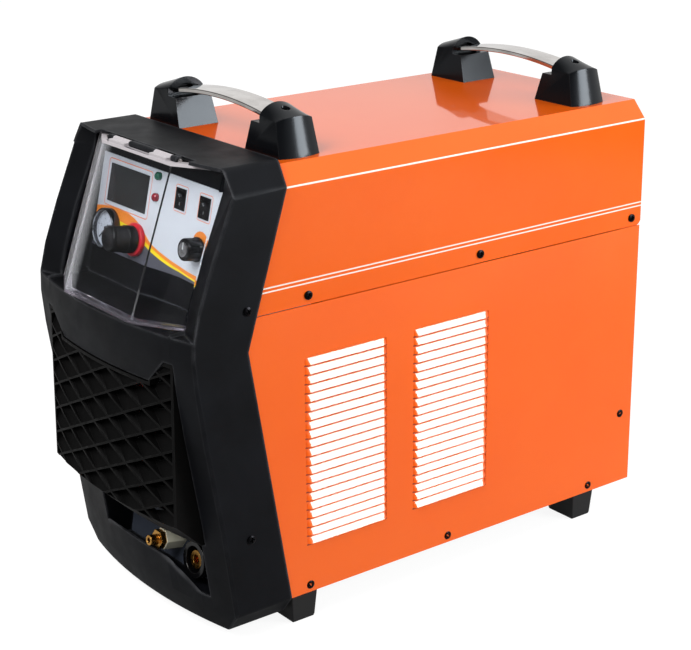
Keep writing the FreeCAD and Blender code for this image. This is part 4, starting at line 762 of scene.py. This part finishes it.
# %% Side sheets
louvre_height, louvre_proud = 7.6 * mm, 3.1 * mm
slot_height = louvre_height * 0.86      # how much of the sheet is open behind a hood
hood_end, hood_shoulder = 4.2 * mm, 1.6 * mm      # length of its rounded end, and how far that end comes down
hood_sunk, lip_drop = 0.3 * mm, 0.25 * mm
sheet_thick = 0.9 * mm
side_low, side_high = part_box("right_side_panel")
half_wide = side_high[0] - 3.2 * mm
foot_y, nose_y, nose_z = -178.95 * mm, -221.25 * mm, 289.5 * mm
seam_y, sheet_back = -214.5 * mm, 274.75 * mm


def front_edge(z):
    """The y of the sheet's front edge: straight from the foot out to the nose, and back to the seam."""
    return np.interp(z, [side_low[2], nose_z, side_high[2]], [foot_y, nose_y, seam_y])


def sheet_grid():
    """Rows at each slot's ends and columns at the louvres' ends; cells over a slot are left open."""
    slots = louvre_bottom + louvre_pitch * np.arange(louvre_count)
    heights = np.sort(np.concatenate([[side_low[2], side_high[2], nose_z], slots, slots + slot_height]))
    ends = [y for column in louvre_columns for y in column]
    rows = np.stack([np.concatenate([[front_edge(z)], ends, [sheet_back]]) for z in heights])
    levels = np.repeat(heights[:, None], rows.shape[1], 1)
    points = np.stack([np.full(rows.shape, half_wide), rows, levels], -1)
    faces = grid_faces(*rows.shape).reshape(len(heights) - 1, rows.shape[1] - 1, 4)
    middle = ((heights[:-1] + heights[1:]) / 2)[:, None]
    is_slot = np.any((middle > slots) & (middle < slots + slot_height), axis=1)
    keep = np.ones(faces.shape[:2], dtype=bool)
    keep[np.ix_(is_slot, [1, 3])] = False
    return points, faces[keep]


def hood(y0, y1, low):
    """One hood: x = proud x v x end(u), a straight slope from the sheet down to the lip, with rounded ends.

    The end's share is sqrt(1 - (1 - run)^2), a quarter circle over the end's length.
    """
    u = np.linspace(0, 1, 27)
    u = 0.5 - 0.5 * np.cos(np.pi * u)
    v = np.linspace(0, 1, 7)
    u, v = np.meshgrid(u, v, indexing="ij")
    run = np.minimum(u, 1 - u) * (y1 - y0) / hood_end
    end = np.sqrt(1 - np.clip(1 - run, 0, 1) ** 2)
    x = half_wide - hood_sunk + (louvre_proud + hood_sunk) * v * end
    z = low + (louvre_height - (1 - end) * hood_shoulder) * (1 - v) + lip_drop * v
    y = y0 + u * (y1 - y0)
    return np.stack([x, y, z], axis=-1)


def make_side(name, side, node):
    """The flat sheet and its hoods in one mesh, given its thickness inwards and mirrored for the left."""
    flat, flat_faces = sheet_grid()
    points, faces = [flat.reshape(-1, 3)], [flat_faces]
    count = len(points[0])
    for y0, y1 in louvre_columns:
        for k in range(louvre_count):
            press = hood(y0, y1, louvre_bottom + k * louvre_pitch)
            faces.append(grid_faces(*press.shape[:2])[:, ::-1] + count)
            points.append(press.reshape(-1, 3))
            count += len(points[-1])
    points, faces = np.concatenate(points), np.concatenate(faces)
    points[:, 0] *= side
    outward = faces[:, ::-1] if side < 0 else faces
    piece = new_piece(name, points, outward, side_paint, "orange_paint", degrees=50, close=False)
    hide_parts(node)
    add_modifier(piece, "SOLIDIFY", thickness=sheet_thick, offset=-1.0)
    return piece


for name, side, node in (
        ("side_sheet_right", 1, "right_side_panel"), ("side_sheet_left", -1, "left_side_panel")):
    sheet = make_side(name, side, node).data
    looks = [round(c, 2) for c in sheet.polygons[0].normal]
    print(name, len(sheet.polygons), "faces, the first looks to", looks)

# %% [markdown]
# ## The moulded front
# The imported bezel, lattice and posts already have their true forms, flat faces with sharp edges.
# On the real mouldings every edge is rounded, which is what catches the light: the bezel's long
# edges by about four millimetres, its short ones by less, and the lattice's thin ribs finely.

# %% Bezel, lattice, handles and feet
bezel = softened("front_bezel", bezel_plastic, 3.6 * mm, 4, turn=24, long=60 * mm)
bezel.modifiers[0].use_clamp_overlap = False
softened("front_grille", grille_plastic, 0.3 * mm, 1, turn=24)
soften_all((
    ("front_left_post front_right_post rear_left_post rear_right_post", post_plastic, 1.1, 3),
    ("front_handle_strap rear_handle_strap", metals["polished_steel"], 1.0, 3),
    ("front_left_foot front_right_foot rear_left_foot rear_right_foot", rubber, 1.5, 3),
    ("window_cover", cover_acrylic, 0.7, 2),
    ("cover_hinge_pin", metals["polished_steel"], 0.3, 2)))

# %% [markdown]
# ## Screws
# Black pan head screws with a cross recess hold the sheets. A head is a shallow dome turned
# round its axis, and the cross is pressed into it: wherever a point lies close to either of two
# crossed lines near the middle, the dome drops. The screws' places are read from the packed
# solids, one loose part to a screw.

# %% Screw heads
screw_radius, screw_tall = 4.25 * mm, 2.15 * mm
cross_half, cross_reach, cross_deep = 0.17, 0.62, 0.75      # shares of the radius, and of the height


def islands(node):
    """Lowest and highest corners of each loose part of a node: points that share edges are grouped."""
    work = bmesh.new()
    work.from_mesh(frame["nodes"][node].data)
    bmesh.ops.remove_doubles(work, verts=work.verts, dist=double_gap)
    left = set(work.verts)
    boxes = []
    while left:
        group, reached = set(), [next(iter(left))]
        while reached:
            vert = reached.pop()
            if vert not in group:
                group.add(vert)
                reached.extend(edge.other_vert(vert) for edge in vert.link_edges)
        left -= group
        corners = np.array([v.co for v in group])
        boxes.append((corners.min(0), corners.max(0)))
    work.free()
    return boxes


def frame_of(axis):
    """Two unit directions square to an axis."""
    axis = np.asarray(axis, float) / np.linalg.norm(axis)
    side = np.cross(axis, (0, 0, 1) if abs(axis[2]) < 0.9 else (0, 1, 0))
    side /= np.linalg.norm(side)
    return axis, side, np.cross(axis, side)


def turned(profile, centre, axis, around=48, ripple=None):
    """A profile of (radius, height) pairs turned round an axis: centre + h x axis + r (cos a x s + sin a x t).

    A ripple is a function of angle and height that the radius is multiplied with.
    """
    axis, side, across = frame_of(axis)
    radius, height = np.array(profile, float).T
    angle = np.linspace(0, 2 * np.pi, around, endpoint=False)
    reach = radius[:, None] * np.ones(around)
    if ripple is not None:
        reach = reach * ripple(angle[None, :], height[:, None])
    points = (np.asarray(centre, float) + height[:, None, None] * axis + reach[..., None] * (
        np.cos(angle)[None, :, None] * side + np.sin(angle)[None, :, None] * across))
    return points, grid_faces(len(radius), around, wrap_columns=True)


def joined(pieces):
    """Several (points, faces) pairs as one, each one's faces counted on from the last."""
    points, faces, count = [], [], 0
    for part_points, part_faces in pieces:
        flat = part_points.reshape(-1, 3)
        points.append(flat)
        faces.append(np.asarray(part_faces) + count)
        count += len(flat)
    return np.concatenate(points), np.concatenate(faces)


def screw_head_shape(centre, axis, radius, tall, twist):
    """A dome with a cross recess: height = tall x (1 - 0.42 r^2.4), less a drop near two crossed lines."""
    axis, side, across = frame_of(axis)
    r = np.concatenate([np.linspace(0, 0.94, 14), [1.0, 1.0]])[:, None]
    angle = np.linspace(0, 2 * np.pi, 40, endpoint=False)[None, :]
    dome = tall * (1 - 0.42 * r ** 2.4)
    dome[-1] = 0.0
    x, y = r * np.cos(angle + twist), r * np.sin(angle + twist)
    near = np.minimum(np.abs(x), np.abs(y))
    arm = np.clip((cross_half - near) / 0.06, 0, 1) * np.clip((cross_reach - r) / 0.08, 0, 1)
    height = dome - cross_deep * tall * arm
    x, y = r * np.cos(angle), r * np.sin(angle)
    points = centre + radius * (x[..., None] * side + y[..., None] * across) + height[..., None] * axis
    return points, grid_faces(*x.shape, wrap_columns=True)


def make_case_screws():
    """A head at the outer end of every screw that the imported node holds, each turned its own way."""
    heads = []
    for number, (low, high) in enumerate(islands("case_screws")):
        side = 1 if high[0] > 0 else -1
        outer = high[0] if side > 0 else low[0]
        centre = np.array([outer - side * screw_tall, (low[1] + high[1]) / 2, (low[2] + high[2]) / 2])
        heads.append(screw_head_shape(centre, (side, 0, 0), screw_radius, screw_tall, 0.7 * number))
    piece = new_piece("case_screw_heads", *joined(heads), metals["screw_black"], "screw_black", degrees=40)
    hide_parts("case_screws")
    return len(heads)


def make_handle_screws():
    """Sunk cross head screws at the bottom of the bores in the posts' heads."""
    heads = []
    for number, (low, high) in enumerate(islands("handle_screws")):
        centre = np.array([(low[0] + high[0]) / 2, (low[1] + high[1]) / 2, low[2]])
        radius = (high[0] - low[0]) / 2
        heads.append(screw_head_shape(centre, (0, 0, 1), radius, high[2] - low[2], 1.1 * number))
    piece = new_piece("handle_screw_heads", *joined(heads), metals["screw_black"], "screw_black", degrees=40)
    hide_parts("handle_screws")
    return len(heads)


print("case screws", make_case_screws(), "handle screws", make_handle_screws())

# %% [markdown]
# ## Controls
# The knobs are turned shapes. The current knob has flutes, a ripple in the radius that fades out
# at its skirt and its end; the air knob has fine ribs for grip. Both stand on the panel's own
# axis, so each profile is given as radius and height out of the panel.

# %% Panel, display, lamps and switches
frame["nodes"]["control_panel"].data.materials.clear()
frame["nodes"]["control_panel"].data.materials.append(panel_print)
soften_all((
    ("display_module", display_smoke, 0.5, 2),
    ("indicator_lamps", lamp_lens, 0.5, 2),
    ("rocker_housings", switch_plastic, 0.35, 2),
    ("air_test_rocker mode_rocker", switch_plastic, 0.5, 3),
    ("regulator_ring", red_plastic, 1.4, 4)))
print("panel dressed")


def on_axis(place, lift=0.0):
    """The point on the panel at a place, and the panel's outward direction."""
    return on_panel(place[0], place[1], lift), panel_out


def on_key(run, place):
    """The key at rest, in millimetres: its face, 1.3 + 1.2 |run| / reach high, swung about its pivot."""
    pivot, swing, reach, proud = -1.5, math.radians(10), 6.95, 0.08
    out = 1.3 + 1.2 * np.abs(run) / reach + proud
    turned_run = run * math.cos(swing) - (out - pivot) * math.sin(swing)
    turned_out = pivot + run * math.sin(swing) + (out - pivot) * math.cos(swing)
    return place + turned_run, turned_out


def make_rocker_marks():
    """On each key a bar on the lower half and a ring on the upper half, just proud of the key's face."""
    angle = np.linspace(0, 2 * np.pi, 32, endpoint=False)
    rings = np.concatenate([np.stack([r * np.cos(angle), r * np.sin(angle)], -1) for r in (0.9, 1.35)])
    bar = np.array([(-0.3, -1.3), (0.3, -1.3), (0.3, 1.3), (-0.3, 1.3)])
    shapes = (("_bar_mark", bar, [(0, 1, 2, 3)], -3.9),
              ("_ring_mark", rings, grid_faces(2, 32, wrap_columns=True), 3.9))
    for (across, up), body in zip(rocker_places, ("air_test_rocker", "mode_rocker")):
        for ending, flat, faces, along in shapes:
            lift, out = on_key(along + flat[:, 1], up)
            points = on_panel(across + flat[:, 0], lift, out)
            new_piece(body + ending, points, faces, mark_grey, "dial_white", body=body, close=False)


make_rocker_marks()

# %% Current knob
def fluted(count, depth, low, high):
    """Radius x (1 - depth x |cos(count a / 2)|^10): sharp valleys between broad ribs, from low to high."""
    def ripple(angle, height):
        valley = np.abs(np.cos(count * angle / 2)) ** 10
        inside = np.clip((height - low) / (0.8 * mm), 0, 1) * np.clip((high - height) / (1.2 * mm), 0, 1)
        return 1 - depth * valley * inside
    return ripple


def shaft(radius, start, end, centre, axis):
    """A plain round shaft between two heights, in millimetres."""
    rows = [(0, start), (radius, start), (radius, end), (0, end)]
    return turned(np.array(rows) * mm, centre, axis, 32)


def make_current_knob():
    """A black fluted knob: skirt, fluted barrel and a rounded end in one profile, and its shaft behind."""
    rows = [(0.0, 2.4), (11.2, 2.4), (11.5, 2.7), (11.5, 5.0), (11.2, 5.35), (10.75, 5.6)]
    rows += [(10.7 - 0.03 * (height - 6.2), height) for height in np.linspace(6.2, 16.6, 14)]
    rows += [(10.2, 17.2), (9.7, 17.75), (8.8, 18.1), (8.0, 18.2), (7.2, 17.9), (7.0, 17.5), (0.0, 17.5)]
    centre, axis = on_axis(current_place)
    barrel = turned(np.array(rows) * mm, centre, axis, 144, fluted(12, 0.13, 5.9 * mm, 16.9 * mm))
    solid = joined([barrel, shaft(2.95, -11.4, 3.0, centre, axis)])
    piece = new_piece("current_knob_body", *solid, switch_plastic, slot_of["current_knob"],
                      body="current_knob", degrees=40)
    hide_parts("current_knob")


def make_knob_cap():
    """A spun metal disc with a shallow dish and a white pointer line laid across half of it."""
    centre, axis = on_axis(current_place)
    rows = [(0.0, 17.3), (7.05, 17.3), (7.05, 18.5), (6.8, 18.85), (6.2, 18.95), (3.0, 18.7), (0.0, 18.6)]
    points, faces = turned(np.array(rows) * mm, centre, axis, 96)
    piece = new_piece("knob_cap_disc", points, faces, metals["spun_aluminium"], "chrome", body="current_knob",
                      degrees=40)
    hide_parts("knob_cap")
    half, start, end, lift = 0.55, 0.2, 6.6, 18.98
    corners = np.array([(-half, start), (half, start), (half, end), (-half, end)])
    line = on_panel(*(corners + current_place).T, lift)
    new_piece("knob_pointer", line, [(0, 1, 2, 3)], mark_white, "dial_white", body="current_knob", close=False)


make_current_knob()
make_knob_cap()
print("current knob at", on_axis(current_place)[0].round(4))

# %% Air regulator knob
def make_regulator_knob():
    """A long black knob with fine ribs: profile out of the panel with a collar, a barrel and a rounded end."""
    start, rim = 5.4, regulator_radius
    end, barrel = start + regulator_long, regulator_radius - 0.7
    rows = [(0.0, start), (rim - 0.4, start), (rim, start + 0.4), (rim, start + 8.4), (rim - 0.3, start + 8.9),
            (barrel - 0.1, start + 9.1)]
    rows += [(barrel, start + 9.6 + k * (end - start - 12.4) / 10) for k in range(11)]
    rows += [(barrel - inset, end - fall) for inset, fall in (
        (0.4, 1.9), (1.0, 1.0), (2.0, 0.3), (3.3, 0.0), (4.5, 0.4), (barrel, 0.6))]
    centre, axis = on_axis(regulator_place)
    ribs = fluted(36, 0.022, (start + 9.4) * mm, (end - 2) * mm)
    grip = turned(np.array(rows) * mm, centre, axis, 180, ribs)
    piece = new_piece("regulator_grip", *joined([grip, shaft(4.95, -31.9, 6.0, centre, axis)]), switch_plastic,
                      slot_of["regulator_knob"], body="regulator_knob", degrees=40)
    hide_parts("regulator_knob")


make_regulator_knob()
print("regulator knob at", on_axis(regulator_place)[0].round(4))

# %% [markdown]
# The gauge has a rolled grey metal rim round a white dial with ticks and plain numbers, a black
# needle and a clear lens. Ticks are thin raised boxes placed by angle: zero lies at the lower
# left, full scale at the lower right, and the needle rests at zero.

# %% Gauge
dial_start, dial_sweep, dial_divisions, dial_face = -135, 270, 50, 2.86      # degrees, and millimetres out


def dial_angle(share):
    """The angle of a share of the full scale, clockwise from straight up."""
    return np.radians(dial_start + dial_sweep * share)


def make_gauge_rim():
    """The gauge's can and rolled rim as one turned profile, open in front down to the dial's seat."""
    rows = [(0.0, -25.9), (4.9, -25.9), (4.95, -14.0), (14.9, -14.0), (14.95, 0.05), (19.4, 0.05), (19.9, 0.5),
            (19.95, 6.6), (19.6, 7.9), (19.0, 8.6), (18.5, 8.9), (18.1, 8.75), (17.85, 8.3), (17.8, 2.0),
            (0.0, 2.0)]
    centre, axis = on_axis(gauge_place)
    solid = turned(np.array(rows) * mm, centre, axis, 96)
    piece = new_piece("gauge_rim", *solid, metals["gauge_metal"], "chrome", degrees=32)
    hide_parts("gauge_case")


def dial_place(radius, angle, out):
    """A place on the dial, its angle clockwise from straight up."""
    return on_panel(gauge_place[0] + radius * np.sin(angle), gauge_place[1] + radius * np.cos(angle), out)


def make_dial_marks():
    """Fifty divisions over 270 degrees: long ticks at each tenth, and a thin arc inside them."""
    pieces, outer = [], 15.8
    for k in range(dial_divisions + 1):
        angle = dial_angle(k / dial_divisions)
        inner, thick = (12.2, 0.30) if k % 10 == 0 else ((13.4, 0.2) if k % 5 == 0 else (14.3, 0.12))
        r, t = np.array([(inner, -thick), (inner, thick), (outer, thick), (outer, -thick)]).T
        points = dial_place(np.hypot(r, t), angle + np.arctan2(t, r), dial_face)
        pieces.append((points, np.array([(0, 1, 2, 3)])))
    arc = np.stack([dial_place(r, dial_angle(np.linspace(0, 1, 91)), dial_face) for r in (outer, 16.1)])
    pieces.append((arc, grid_faces(*arc.shape[:2])))
    new_piece("dial_ticks", *joined(pieces), mark_black, "needle_black", close=False)


def make_dial_numbers():
    """Plain numbers from 0 to 10 set flat on the dial and turned into meshes."""
    for number in range(0, 11, 2):
        text = bpy.data.curves.new("number", "FONT")
        text.body, text.size, text.align_x, text.align_y = str(number), 3.6, "CENTER", "CENTER"
        stand = bpy.data.objects.new("number", text)
        bpy.context.scene.collection.objects.link(stand)
        bpy.context.view_layer.update()
        flat = bpy.data.meshes.new_from_object(stand)
        points = np.array([v.co for v in flat.vertices])
        faces = [tuple(p.vertices) for p in flat.polygons]
        angle = dial_angle(number / 10)
        centre = np.array(gauge_place) + 9.6 * np.array([math.sin(angle), math.cos(angle)])
        place = on_panel(centre[0] + points[:, 0], centre[1] + points[:, 1], dial_face + 0.01)
        bpy.data.objects.remove(stand)
        new_piece("dial_number_" + str(number), place, faces, mark_black, "needle_black", close=False)


make_gauge_rim()
make_dial_marks()
make_dial_numbers()
for node, material in (("gauge_dial", dial_white), ("gauge_needle", mark_black), ("gauge_lens", lens_clear)):
    frame["nodes"][node].data.materials.clear()
    frame["nodes"][node].data.materials.append(material)
print("gauge at", on_axis(gauge_place)[0].round(4))

# %% [markdown]
# ## Connectors and everything behind
# The torch's brass nipple comes out of a cream insulator, and beside it is the black output
# socket with its brass contact. They, the fittings at the back and the works inside already have
# their true forms, so rounding their edges and giving each its finish is all that they need.

# %% Connector bay
soften_all((
    ("connector_plate", connector_paint, 0.4, 1),
    ("torch_insulator", cream_plastic, 0.8, 3),
    ("torch_fitting", metals["brass"], 0.6, 3),
    ("output_socket", switch_plastic, 1.0, 3),
    ("socket_contact", metals["brass"], 0.5, 2)))
print("connector bay dressed")

# %% The back
print("pieces at the back", soften_all((
    ("rear_panel", side_paint, 0.5, 2),
    ("fan_guard", metals["zinc_steel"], 0.5, 2),
    ("fan_frame", dark_plastic, 0.6, 2),
    ("fan_rotor", dark_plastic, 0.4, 2),
    ("breaker_body", dark_plastic, 0.8, 3),
    ("breaker_lever", switch_plastic, 1.0, 3),
    ("cable_gland", dark_plastic, 0.8, 3),
    ("air_inlet earth_stud", metals["brass"], 0.6, 2))))

# %% Works inside
print("inner pieces", soften_all((
    ("base_tray front_frame", metals["zinc_steel"], 0.4, 1),
    ("potentiometer air_regulator heatsinks", metals["aluminium"], 0.4, 1),
    ("main_board control_board", board_green, 0.4, 1),
    ("capacitors", can_blue, 0.4, 1),
    ("transformer_core", metals["core_steel"], 0.4, 1),
    ("transformer_windings output_choke", metals["copper"], 0.4, 1),
    ("solenoid_valve", metals["brass"], 0.4, 1),
    ("air_tube", tube_plastic, 0.4, 1))))
